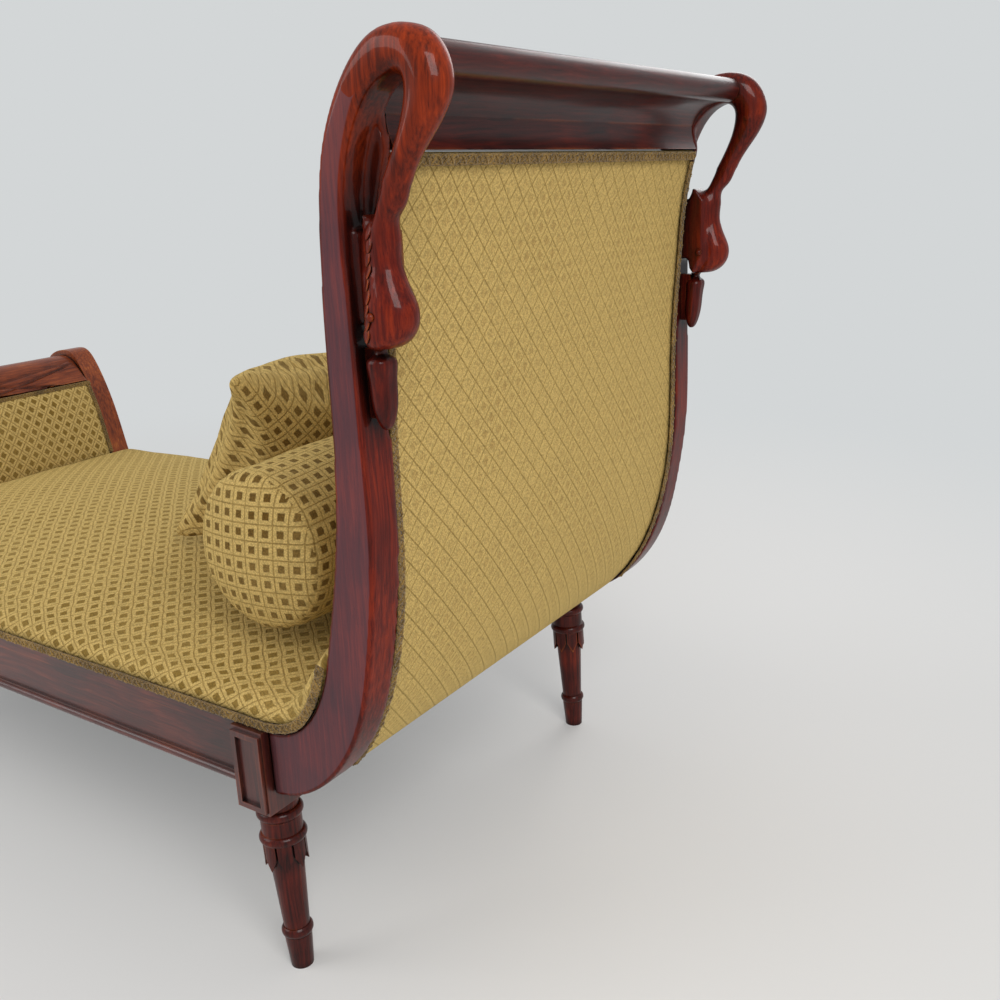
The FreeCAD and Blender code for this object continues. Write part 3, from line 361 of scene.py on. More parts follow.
@dataclass(frozen=True)
class CutVelvet:
    """Cut and uncut velvet in olive gold, woven in a lattice of diamonds.

    Looped bands in two rows with a groove between them frame diamonds of cut pile, which look dark from
    above and pale at a slant, because the pile catches light on its sides.
    """

    name: str
    loops: str = "#D0B06A"
    pile: str = "#7A5B1D"
    groove: str = "#94763A"
    sheen: str = "#E4C97C"
    across_mm: float = 24.0
    along_mm: float = 26.5
    # Real loops are about 0.8 mm apart. They are drawn twice as coarse, because they would not show.
    knot_mm: float = 1.7
    fray_mm: float = 2.6
    fray: float = 0.16
    band_from: float = 0.44
    band_edge: float = 0.16
    groove_range: tuple[float, float] = (0.86, 0.99)
    crush_mm: float = 110.0
    crush_and_sheen: float = 0.35
    relief_mm: float = 1.1

    def material(self) -> Material:
        """Build the cloth; its place on the weave comes from the attribute "weave", in metres.

        Returns:
            The new material.
        """
        material, tree = blank(self.name)
        place = add(tree, "Attribute", {"attribute_name": "weave"}).outputs["Vector"]
        line = self.lattice(tree, place)
        fuzz = add(tree, "TexNoise", Vector=place, Scale=1000 / self.fray_mm, Detail=2.0)
        frayed = add(tree, "Math", TIMES_PLUS, _0=fuzz.outputs["Fac"], _1=self.fray, _2=line)
        band = add(tree, "MapRange", SMOOTH, Value=frayed.outputs[0], From_Min=self.band_from,
                   From_Max=self.band_from + self.band_edge)
        groove = add(tree, "MapRange", SMOOTH, Value=line, From_Min=self.groove_range[0],
                     From_Max=self.groove_range[1])
        knots = add(tree, "TexVoronoi", Vector=place, Scale=1000 / self.knot_mm)
        crush = add(tree, "TexNoise", Vector=place, Scale=1000 / self.crush_mm, Detail=2.0)
        # Random crush of the pile; on the outside cover it runs fully up with a pale pile to paint the sheen.
        pressed_and_sheen = add(tree, "MapRange", Value=crush.outputs["Fac"], From_Min=0.35, From_Max=0.65, To_Max=self.crush_and_sheen)
        nap = add(tree, "Mix", COLOURS, _0=pressed_and_sheen.outputs[0], _6=linear(self.pile), _7=linear(self.loops))
        ground = add(tree, "Mix", COLOURS, _0=band.outputs[0], _6=nap.outputs[2], _7=linear(self.loops))
        shaded = add(tree, "Math", TIMES, _0=groove.outputs[0], _1=0.75)
        lined = add(tree, "Mix", COLOURS, _0=shaded.outputs[0], _6=ground.outputs[2], _7=linear(self.groove))
        # Painted light and shade: each loop lighter at its top and darker at its edge.
        yarn = add(tree, "MapRange", Value=knots.outputs["Distance"], From_Min=0.0, From_Max=0.75, To_Min=1.12,
                   To_Max=0.62)
        tone = add(tree, "VectorMath", {"operation": "SCALE"}, _0=lined.outputs[2], Scale=yarn.outputs[0])
        looped = add(tree, "Math", TIMES_PLUS, _0=knots.outputs["Distance"], _1=-0.45, _2=band.outputs[0])
        height = add(tree, "Math", TIMES_PLUS, _0=groove.outputs[0], _1=-0.75, _2=looped.outputs[0])
        bump = add(tree, "Bump", Strength=0.85, Distance=self.relief_mm * MM, Height=height.outputs[0])
        shader = add(tree, "BsdfPrincipled", Base_Color=tone.outputs[0], Roughness=0.85, IOR=YARN_IOR,
                     Sheen_Weight=0.55, Sheen_Roughness=0.38, Sheen_Tint=linear(self.sheen), Normal=bump.outputs[0])
        shader.inputs["Specular IOR Level"].default_value = 0.2
        close(tree, shader)
        return material

    def lattice(self, tree: Tree, place: Socket) -> Socket:
        """Two sets of slanting lines that cross.

        Args:
            tree: the material's node tree.
            place: place on the weave, in metres.

        Returns:
            1 on a line, down to 0 in the middle of a diamond.
        """
        axes = add(tree, "SeparateXYZ", Vector=place)
        along = add(tree, "Math", TIMES, _0=axes.outputs[0], _1=1000 / self.along_mm)
        sets = []
        for way in (1, -1):
            slant = add(tree, "Math", TIMES_PLUS, _0=axes.outputs[1], _1=way * 1000 / self.across_mm,
                        _2=along.outputs[0])
            sets.append(add(tree, "Math", {"operation": "PINGPONG"}, _0=slant.outputs[0], _1=0.5).outputs[0])
        nearest = add(tree, "Math", {"operation": "MINIMUM"}, _0=sets[0], _1=sets[1])
        return add(tree, "Math", TIMES_PLUS, _0=nearest.outputs[0], _1=-2.0, _2=1.0).outputs[0]


@dataclass(frozen=True)
class SpunYarn:
    """Twisted yarn or coarse fibre, spun and woven, such as gimp braid, jute or cotton cloth.

    The eye sees matt threads with dark gaps between them, and paler patches where the yarn is worn.
    """

    name: str
    light: str
    dark: str
    thread_mm: float = 1.2
    sheen: float = 0.2
    patch_mm: float = 24.0
    relief_mm: float = 0.5

    def material(self) -> Material:
        """Build the finish from a pattern of threads and paler patches.

        Returns:
            The new material.
        """
        material, tree = blank(self.name)
        place = add(tree, "TexCoord").outputs["Object"]
        threads = add(tree, "TexVoronoi", Vector=place, Scale=1000 / self.thread_mm)
        patch = add(tree, "TexNoise", Vector=place, Scale=1000 / self.patch_mm, Detail=3.0)
        both = add(tree, "Mix", _0=0.5, _2=threads.outputs["Distance"], _3=patch.outputs["Fac"])
        level = add(tree, "MapRange", Value=both.outputs[0], From_Min=0.25, From_Max=0.65)
        tone = add(tree, "Mix", COLOURS, _0=level.outputs[0], _6=linear(self.light), _7=linear(self.dark))
        bump = add(tree, "Bump", Strength=0.6, Distance=self.relief_mm * MM, Height=threads.outputs["Distance"])
        close(tree, add(tree, "BsdfPrincipled", Base_Color=tone.outputs[2], Roughness=0.9, IOR=YARN_IOR,
                        Sheen_Weight=self.sheen, Normal=bump.outputs[0]))
        return material


@dataclass(frozen=True)
class DrawnSteel:
    """Steel wood screws, drawn and cut. The eye sees dull grey metal with fine marks of the tool."""

    name: str = "drawn_steel"
    colour: str = "#8E8C88"
    dark: str = "#6E6A64"
    mark_mm: float = 1.1111

    def material(self) -> Material:
        """Build the metal.

        Returns:
            The new material.
        """
        material, tree = blank(self.name)
        place = add(tree, "TexCoord").outputs["Object"]
        marks = add(tree, "TexNoise", Vector=place, Scale=1000 / self.mark_mm, Detail=2.0)
        rough = add(tree, "MapRange", Value=marks.outputs["Fac"], To_Min=0.28, To_Max=0.5)
        tone = add(tree, "Mix", COLOURS, _0=marks.outputs["Fac"], _6=linear(self.colour), _7=linear(self.dark))
        close(tree, add(tree, "BsdfPrincipled", Base_Color=tone.outputs[2], Metallic=1.0, Roughness=rough.outputs[0]))
        return material


# Lines and meshes
class SmoothLine:
    """Smooth line through a few points in the XZ plane, in metres."""

    def __init__(self, points_mm: Sequence[tuple[float, float]], count: int = 500) -> None:
        """Sample a natural cubic through the points.

        Args:
            points_mm: (x, z) pairs in millimetres.
            count: samples along the line.
        """
        knots = np.array(points_mm, float) * MM
        stations = np.concatenate([[0], np.cumsum(np.linalg.norm(np.diff(knots, axis=0), axis=1))])
        steps = np.diff(stations)
        size = len(knots)
        matrix, right = np.eye(size), np.zeros((size, 2))
        for i in range(1, size - 1):
            matrix[i, i - 1:i + 2] = steps[i - 1], 2 * (steps[i - 1] + steps[i]), steps[i]
            right[i] = 6 * ((knots[i + 1] - knots[i]) / steps[i] - (knots[i] - knots[i - 1]) / steps[i - 1])
        bends = np.linalg.solve(matrix, right)
        where = np.linspace(0, stations[-1], count)
        low = np.clip(np.searchsorted(stations, where, side="right") - 1, 0, size - 2)
        gap = steps[low][:, None]
        a = (stations[low + 1] - where)[:, None] / gap
        b = 1 - a
        self.points = (a * knots[low] + b * knots[low + 1]
                       + ((a ** 3 - a) * bends[low] + (b ** 3 - b) * bends[low + 1]) * gap ** 2 / 6)
        runs = np.linalg.norm(np.diff(self.points, axis=0), axis=1)
        self.lengths = np.concatenate([[0], np.cumsum(runs)])
        slopes = np.gradient(self.points, axis=0)
        self.tangents = slopes / np.linalg.norm(slopes, axis=1)[:, None]

    @property
    def length(self) -> float:
        """Length of the line in metres."""
        return float(self.lengths[-1])

    def at(self, shares: Points) -> tuple[Points, Points]:
        """Points and tangents at some places on the line.

        Args:
            shares: shares of the length, from 0 to 1.

        Returns:
            The (x, z) points and the unit tangents there.
        """
        where = np.asarray(shares, float) * self.length
        points = np.stack([np.interp(where, self.lengths, self.points[:, k]) for k in (0, 1)], 1)
        tangents = np.stack([np.interp(where, self.lengths, self.tangents[:, k]) for k in (0, 1)], 1)
        return points, tangents / np.linalg.norm(tangents, axis=1)[:, None]

    def travel(self, spots: Points) -> Points:
        """Distance along the line of the sample nearest to each spot.

        Args:
            spots: (x, z) pairs in metres.

        Returns:
            One distance per spot, in metres.
        """
        batch = 4000
        found = np.empty(len(spots))
        for start in range(0, len(spots), batch):
            part = spots[start:start + batch]
            gaps = ((part[:, None, :] - self.points[None]) ** 2).sum(2)
            found[start:start + batch] = self.lengths[gaps.argmin(1)]
        return found


def linked(name: str, data: bpy.types.ID) -> Piece:
    """Put a mesh, a lamp or a camera in the scene.

    Args:
        name: the object's name.
        data: the mesh, lamp or camera.

    Returns:
        The new object.
    """
    thing = bpy.data.objects.new(name, data)
    bpy.context.scene.collection.objects.link(thing)
    return thing


def dress(thing: Piece, finish: Material, body: str) -> None:
    """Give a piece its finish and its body.

    Args:
        thing: the piece.
        finish: its material.
        body: the body that it rides on.
    """
    thing.data.materials.clear()
    thing.data.materials.append(finish)
    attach(thing, body)


def piece_from(name: str, spots: Points, faces: Iterable[Sequence[int]], finish: Material,
               body: str = "root", smooth: bool = True) -> Piece:
    """Make one visible piece from points and faces.

    Args:
        name: the piece's name.
        spots: its points in metres.
        faces: lists of point numbers.
        finish: its material.
        body: the body that it rides on.
        smooth: whether its faces are shaded smooth.

    Returns:
        The new object.
    """
    mesh = bpy.data.meshes.new(name)
    mesh.from_pydata(np.asarray(spots, float).tolist(), [], [list(f) for f in faces])
    mesh.polygons.foreach_set("use_smooth", [smooth] * len(mesh.polygons))
    mesh.validate()
    thing = linked(name, mesh)
    dress(thing, finish, body)
    return thing


def write_weave(thing: Piece, along: Points, across: Points) -> None:
    """Store where each point lies on the woven cloth.

    Args:
        thing: the piece.
        along: one distance along the warp per point, in metres.
        across: one distance across it per point.
    """
    values = np.zeros((len(thing.data.vertices), 3), np.float32)
    values[:, 0], values[:, 1] = along, across
    layer = thing.data.attributes.get("weave") or thing.data.attributes.new("weave", "FLOAT_VECTOR", "POINT")
    layer.data.foreach_set("vector", values.ravel())


def point_values(mesh: Mesh, kind: str) -> Points:
    """One vector of each point of a mesh.

    Args:
        mesh: the mesh.
        kind: "co" for where the points are, "normal" for their directions.

    Returns:
        Points by 3.
    """
    flat = np.empty(len(mesh.vertices) * 3)
    mesh.vertices.foreach_get(kind, flat)
    return flat.reshape(-1, 3)


def spots_of(mesh: Mesh) -> Points:
    """All points of a mesh as an array."""
    return point_values(mesh, "co")


def normals_of(mesh: Mesh) -> Points:
    """All point normals of a mesh as an array."""
    return point_values(mesh, "normal")


def put_spots(mesh: Mesh, spots: Points) -> None:
    """Move all points of a mesh."""
    mesh.vertices.foreach_set("co", np.ascontiguousarray(spots, float).ravel())
    mesh.update()


def grid_shell(name: str, front: Points, back: Points, finish: Material) -> Piece:
    """Close two grids of points, face to face, into one thin shell.

    Args:
        name: the piece's name.
        front: rows by columns by 3, the outer face.
        back: the same for the inner face.
        finish: its material.

    Returns:
        The new object.
    """
    rows, columns = front.shape[:2]
    size = rows * columns
    faces = []
    for i in range(rows - 1):
        for j in range(columns - 1):
            a = i * columns + j
            faces.append((a, a + 1, a + columns + 1, a + columns))
            faces.append((size + a + columns, size + a + columns + 1, size + a + 1, size + a))
    rim = ([(0, j) for j in range(columns - 1)] + [(i, columns - 1) for i in range(rows - 1)]
           + [(rows - 1, j) for j in range(columns - 1, 0, -1)] + [(i, 0) for i in range(rows - 1, 0, -1)])
    ring = [i * columns + j for i, j in rim]
    for k, a in enumerate(ring):
        b = ring[(k + 1) % len(ring)]
        faces.append((b, a, size + a, size + b))
    return piece_from(name, np.concatenate([front.reshape(-1, 3), back.reshape(-1, 3)]), faces, finish)


def face_outward(thing: Piece) -> None:
    """Turn all faces of a closed piece outward.

    Args:
        thing: the piece.
    """
    work = bmesh.new()
    work.from_mesh(thing.data)
    bmesh.ops.recalc_face_normals(work, faces=work.faces)
    work.to_mesh(thing.data)
    work.free()


def applied(thing: Piece) -> Mesh:
    """Mesh of a piece with its modifiers worked in.

    Args:
        thing: the piece, which keeps its own mesh.

    Returns:
        The new mesh.
    """
    graph = bpy.context.evaluated_depsgraph_get()
    return bpy.data.meshes.new_from_object(thing.evaluated_get(graph))


def stuffed(name: str, nodes: Sequence[str], finish: Material, body: str, voxel: float, shrink: float,
            passes: int, pressure: float, cap: float,
            packing: Sequence[tuple[Line, float]] = ()) -> Piece:
    """Make a stuffed piece from the room that CAD solids hold, swollen as cloth over its filling.

    Args:
        name: the piece's name.
        nodes: the CAD nodes it stands for.
        finish: its material.
        body: the body it rides on.
        voxel: size of the remesh in metres.
        shrink: how far the skin is drawn in before it swells, in metres.
        passes: smoothing passes after the remesh.
        pressure: push of the filling.
        cap: the furthest that a point may move, in metres.
        packing: outlines of wadding that closes the room between the nodes, see carved_skin.

    Returns:
        The new object.
    """
    skin = carved_skin(name, nodes, voxel, passes, packing)
    thing = linked(name, skin)
    start = spots_of(skin) - normals_of(skin) * shrink
    put_spots(skin, start)
    swell(thing, pressure)
    moved = spots_of(thing.data) - start
    far = np.linalg.norm(moved, axis=1)
    put_spots(thing.data, start + moved * np.minimum(1, cap / np.maximum(far, 1e-9))[:, None])
    dress(thing, finish, body)
    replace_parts(thing, *nodes)
    return thing


def swell(thing: Piece, pressure: float, steps: int = 20) -> None:
    """Run the cover as cloth over its filling, and keep where it comes to rest.

    Args:
        thing: the piece, whose points are moved.
        pressure: push of the filling.
        steps: frames to run.
    """
    cloth = thing.modifiers.new("cover", "CLOTH")
    settings = cloth.settings
    settings.quality = 4
    settings.mass = 0.25
    settings.tension_stiffness = 12
    settings.compression_stiffness = 12
    settings.shear_stiffness = 6
    settings.bending_stiffness = 0.6
    settings.use_pressure = True
    settings.uniform_pressure_force = pressure
    settings.effector_weights.gravity = 0
    cloth.collision_settings.use_collision = False
    cloth.point_cache.frame_start = 1
    cloth.point_cache.frame_end = steps
    scene = bpy.context.scene
    for step in range(1, steps + 1):
        scene.frame_set(step)
    swollen = spots_of(applied(thing))
    thing.modifiers.remove(cloth)
    scene.frame_set(1)
    put_spots(thing.data, swollen)


def subdivide(thing: Piece) -> None:
    """Add one subdivision to a finished piece.

    Args:
        thing: the piece.
    """
    step = thing.modifiers.new("subdivision", "SUBSURF")
    step.levels = 1
    step.render_levels = 1


def ripple(spots: Points, length: float, seed: float) -> Points:
    """Soft repeatable waviness from -1 to 1.

    Args:
        spots: points in metres.
        length: size of the waves in metres.
        seed: shifts the pattern.

    Returns:
        One value per point.
    """
    turns = spots * (2 * math.pi / length)
    total = (np.sin(turns[:, 0] + 1.7 * seed) * np.cos(turns[:, 1] * 0.83 + seed)
             + np.sin(turns[:, 1] * 1.31 + 2.3 * seed) * np.cos(turns[:, 2] * 1.17 + 0.4 * seed)
             + np.sin(turns[:, 2] * 0.91 + 0.9 * seed + turns[:, 0] * 0.37))
    return total / 3


@dataclass
class GimpBraid:
    """Looped gimp braid: two crossing cords in scallops on a flat tape."""

    finish: Material
    width: float = 10.5 * MM
    pitch: float = 8.4 * MM
    cord: float = 1.3 * MM
    edge_cord: float = 0.75
    scallop: float = 0.35 * MM
    edge_inset: float = 0.2 * MM
    overlap: float = 0.45
    tape_inset: float = 1.6 * MM
    tape_depth: float = 0.9
    sides: int = 5
    stations: int = 9

    def lay(self, name: str, runs: Sequence[Run], nodes: Sequence[str]) -> Piece:
        """Lay the braid along one or more runs.

        Args:
            name: the piece's name.
            runs: points, across directions and outward directions of each run.
            nodes: the CAD nodes it stands for.

        Returns:
            The new object.
        """
        spots: list[Points] = []
        faces: list[tuple[int, ...]] = []
        for line, across, outward in runs:
            gaps = np.linalg.norm(np.diff(line, axis=0), axis=1)
            travel = np.concatenate([[0], np.cumsum(gaps)])
            count = max(12, int(travel[-1] / self.pitch * self.stations))
            where = np.linspace(0, travel[-1], count)
            middle, side, lift = (np.stack([np.interp(where, travel, a[:, k]) for k in range(3)], 1)
                                  for a in (line, across, outward))
            angle = where * (2 * math.pi / self.pitch)
            reach = self.width / 2 - self.cord
            for turn in (0.0, math.pi):
                sway = np.sin(angle / 2 + turn) * reach
                rise = self.cord * (1.0 + self.overlap * np.cos(angle + turn))
                self._tube(spots, faces, middle + side * sway[:, None] + lift * rise[:, None], self.cord)
            for edge in (-1, 1):
                sway = edge * (reach - self.edge_inset + self.scallop * np.cos(angle))
                rise = np.full(count, self.cord * 0.8)
                self._tube(spots, faces, middle + side * sway[:, None] + lift * rise[:, None],
                           self.cord * self.edge_cord)
            self._tape(spots, faces, middle, side, lift)
        thing = piece_from(name, np.concatenate(spots), faces, self.finish)
        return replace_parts(thing, *nodes)

    def _tube(self, spots: list[Points], faces: list[tuple[int, ...]], line: Points, radius: float) -> None:
        """Add one closed tube along a line.

        Args:
            spots: the piece's points so far, one array per part.
            faces: the piece's faces so far.
            line: points along the tube's middle.
            radius: the tube's radius.
        """
        base = sum(len(s) for s in spots)
        ahead = np.gradient(line, axis=0)
        ahead /= np.linalg.norm(ahead, axis=1)[:, None]
        aside = np.cross(ahead, np.where(np.abs(ahead[:, 2:3]) > 0.9, [[1.0, 0, 0]], [[0, 0, 1.0]]))
        aside /= np.linalg.norm(aside, axis=1)[:, None]
        above = np.cross(aside, ahead)
        rings = []
        for k in range(self.sides):
            angle = 2 * math.pi * k / self.sides
            rings.append(line + (aside * math.cos(angle) + above * math.sin(angle)) * radius)
        spots.append(np.stack(rings, 1).reshape(-1, 3))
        count, sides = len(line), self.sides
        for i in range(count - 1):
            for k in range(sides):
                a, b = base + i * sides + k, base + i * sides + (k + 1) % sides
                faces.append((a, b, b + sides, a + sides))
        faces.append(tuple(base + k for k in reversed(range(sides))))
        faces.append(tuple(base + (count - 1) * sides + k for k in range(sides)))

    def _tape(self, spots: list[Points], faces: list[tuple[int, ...]], middle: Points, side: Points,
              lift: Points) -> None:
        """Add the flat tape under the cords.

        Args:
            spots: the piece's points so far, one array per part.
            faces: the piece's faces so far.
            middle: points along the tape's middle.
            side: direction across the tape at each point.
            lift: outward direction at each point.
        """
        base = sum(len(s) for s in spots)
        half, depth = self.width / 2 - self.tape_inset, self.cord * self.tape_depth
        corners = [(-half, 0.0), (half, 0.0), (half, depth), (-half, depth)]
        spots.append(np.stack([middle + side * a + lift * b for a, b in corners], 1).reshape(-1, 3))
        count = len(middle)
        for i in range(count - 1):
            for k in range(4):
                a, b = base + i * 4 + k, base + i * 4 + (k + 1) % 4
                faces.append((a, b, b + 4, a + 4))
        faces.append((base + 3, base + 2, base + 1, base))
        last = base + (count - 1) * 4
        faces.append((last, last + 1, last + 2, last + 3))


def side_run(line: SmoothLine, low: float, high: float, y: float, lift: float, side: int,
             count: int = 120) -> Run:
    """Braid run up one side of a padded face.

    Args:
        line: the face's outline.
        low: where the run starts, as a share of the line.
        high: where it ends.
        y: its distance from the middle.
        lift: its height over the line.
        side: 1 or -1, which way is outward from the line.
        count: points along the run.

    Returns:
        Points, directions across and outward directions of the run.
    """
    spots, tangents = line.at(np.linspace(low, high, count))
    out = np.stack([tangents[:, 1], -tangents[:, 0]], 1) * side
    place = spots + out * lift
    points = np.stack([place[:, 0], np.full(count, y), place[:, 1]], 1)
    across = np.tile([0.0, 1.0, 0.0], (count, 1))
    return points, across, np.stack([out[:, 0], np.zeros(count), out[:, 1]], 1)


def top_run(line: SmoothLine, share: float, span: float, lift: float, side: int, count: int = 60) -> Run:
    """Braid run across the top of a padded face.

    Args:
        line: the face's outline.
        share: where it crosses the line, as a share of its length.
        span: half the run's length.
        lift: its height over the line.
        side: 1 or -1, which way is outward from the line.
        count: points along the run.

    Returns:
        Points, directions across and outward directions of the run.
    """
    spots, tangents = line.at(np.array([share]))
    out = np.array([tangents[0, 1], -tangents[0, 0]]) * side
    place = spots[0] + out * lift
    points = np.stack([np.full(count, place[0]), np.linspace(-span, span, count), np.full(count, place[1])], 1)
    across = np.tile([tangents[0, 0], 0.0, tangents[0, 1]], (count, 1))
    return points, across, np.tile([out[0], 0.0, out[1]], (count, 1))


@dataclass
class StretchedCover:
    """Velvet drawn tight over an outer face, a thin crowned shell with its weave laid along it."""

    finish: Material
    half_width: float
    side: int
    sunk: float = 5.4 * MM
    crown: float = 3.0 * MM
    thickness: float = 1.8 * MM
    pucker: float = 0.0
    pucker_pitch: float = 41.0 * MM

    def lay(self, name: str, line: SmoothLine, reach: tuple[float, float], rows: int, columns: int) -> Piece:
        """Lay the cover along a line.

        Args:
            name: the piece's name.
            line: the face's outline.
            reach: where the cover starts and ends, as shares of the line.
            rows: points along it.
            columns: points across it.

        Returns:
            The new object.
        """
        up = np.linspace(*reach, rows)
        y = np.linspace(-self.half_width, self.half_width, columns)
        spots, tangents = line.at(up)
        out = np.stack([tangents[:, 1], -tangents[:, 0]], 1) * self.side
        share = y / self.half_width
        swell_out = self.crown * np.sin(math.pi * up)[:, None] * (1 - share ** 2)[None]
        folds = np.sin(up * line.length * 2 * math.pi / self.pucker_pitch)[:, None] * (share ** 12)[None]
        grids = []
        for level in (0.0, -self.thickness):
            lift = level - self.sunk + swell_out + self.pucker * folds
            x = spots[:, :1] + out[:, :1] * lift
            z = spots[:, 1:] + out[:, 1:] * lift
            grids.append(np.stack([x, np.broadcast_to(y, x.shape), z], 2))
        thing = grid_shell(name, grids[0], grids[1], self.finish)
        along = np.broadcast_to((up * line.length)[:, None], (rows, columns)).ravel()
        across = np.broadcast_to(y, (rows, columns)).ravel()
        write_weave(thing, np.tile(along, 2), np.tile(across, 2))
        face_outward(thing)
        return thing


# Sub-assemblies
class Finishes:
    """Every finish on the object, each made once."""

    def __init__(self) -> None:
        """Make the finishes."""
        self.rail = {g: PolishedMahogany(f"mahogany_rail_{g.name.lower()}", g, shadow="#260D0A", body="#4A1A14",
                                         glow="#743322", wear=0.4, coat=0.8, coat_roughness=0.3).material()
                     for g in Grain}
        self.board = PolishedMahogany("mahogany_board", Grain.HEIGHT, shadow="#210908", body="#451310",
                                      glow="#67211A", wear=0.5, coat=0.8, coat_roughness=0.26).material()
        self.swan = PolishedMahogany("mahogany_swan", Grain.HEIGHT, shadow="#200604", body="#4A1008", glow="#701F0C",
                                     worn="#B4581A", wear=0.5, coat=0.26, coat_roughness=0.06,
                                     specular=0.06).material()
        # The carved sides carry painted shade deep in the hollows, painted amber light on the neck and a painted
        # reflection on the flat sides.
        self.carved = PolishedMahogany("mahogany_carved", Grain.HEIGHT, shadow="#2A0704", body="#5A1408",
                                       glow="#86280C", worn="#B4581A", wear=0.6, coat=0.26, coat_roughness=0.06,
                                       hollow_mm=42.0, hollow_range=(0.56, 0.93), specular=0.06, lit_amber_share=0.7,
                                       side_reflection_share=0.5).material()
        self.cove = PolishedMahogany("mahogany_cove", Grain.ACROSS, shadow="#1F0806", body="#40110B", glow="#5E1C10",
                                     wear=0.35, coat=0.34, coat_roughness=0.2, specular=0.1).material()
        self.leg = PolishedMahogany("mahogany_leg", Grain.HEIGHT, shadow="#1F0706", body="#4A140C", glow="#742512",
                                    wear=0.65, coat=0.26, specular=0.1).material()
        self.low_end = PolishedMahogany("mahogany_low_end", Grain.HEIGHT, shadow="#54200C", body="#8A4018",
                                        glow="#B96C2C", worn="#C98640", wear=0.7, coat=0.28).material()
        self.low_rail = PolishedMahogany("mahogany_low_rail", Grain.ACROSS, shadow="#4C1C0B", body="#803A18",
                                         glow="#AC5C28", worn="#BC7A3C", wear=0.5, coat=0.28, hollow_mm=5.0,
                                         hollow_range=(0.62, 0.96)).material()
        self.beech = PolishedMahogany("sawn_beech", Grain.ACROSS, shadow="#9A7A50", body="#B5946A", glow="#C9AA80",
                                      worn="#D2B88E", wear=0.2, coat=0.0).material()
        # Lit and shaded copies of one velvet: the outside cover's pile is painted pale for its sheen at a slant, the
        # seat's pile less so, the loose cushions' pile dark as seen face on.
        self.cover_cloth_painted_sheen = CutVelvet("cut_velvet_outside_painted_sheen", pile="#BA9A5A", crush_and_sheen=1.0).material()
        self.seat_cloth_painted_sheen = CutVelvet("cut_velvet_seat_painted_sheen", pile="#86692A", crush_and_sheen=0.22, band_from=0.50).material()
        self.loose_cloth = CutVelvet("cut_velvet_loose", pile="#664812", crush_and_sheen=0.22).material()
        self.braid = SpunYarn("gimp_braid", "#A5823F", "#4E3A18", 0.9).material()
        self.webbing = SpunYarn("jute_webbing", "#B39A6A", "#7C6236", 1.6, 0.1).material()
        self.hessian = SpunYarn("hessian", "#B59B6C", "#8A6E42", 1.3, 0.1).material()
        self.dust_cloth = SpunYarn("black_cotton", "#1C1B1A", "#0B0B0B", 0.8, 0.1).material()
        self.steel = DrawnSteel().material()


@dataclass
class Woodwork:
    """The frame's pieces, whose CAD shapes stay and take their finish here."""

    finishes: Finishes

    def build(self) -> list[Piece]:
        """Give every wooden and steel piece its finish.

        Returns:
            The pieces.
        """
        f = self.finishes
        plan = {
            "long_rail": f.rail[Grain.LENGTH], "rail_bead": f.rail[Grain.LENGTH],
            "corner_block": f.rail[Grain.HEIGHT], "corner_tablets": f.rail[Grain.HEIGHT],
            "foot_end_rail": f.rail[Grain.ACROSS], "head_board": f.board, "swan_": f.swan,
            "head_crest_rail": f.cove, "head_cove_panel": f.cove, "leg_": f.leg, "foot_post": f.low_end,
            "head_end_rail": f.beech, "corner_braces": f.beech, "brace_screws": f.steel,
        }
        dressed = []
        for node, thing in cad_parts.items():
            for start, finish in plan.items():
                if node.startswith(start):
                    thing.data.materials.clear()
                    thing.data.materials.append(finish)
                    dressed.append(thing)
        return dressed


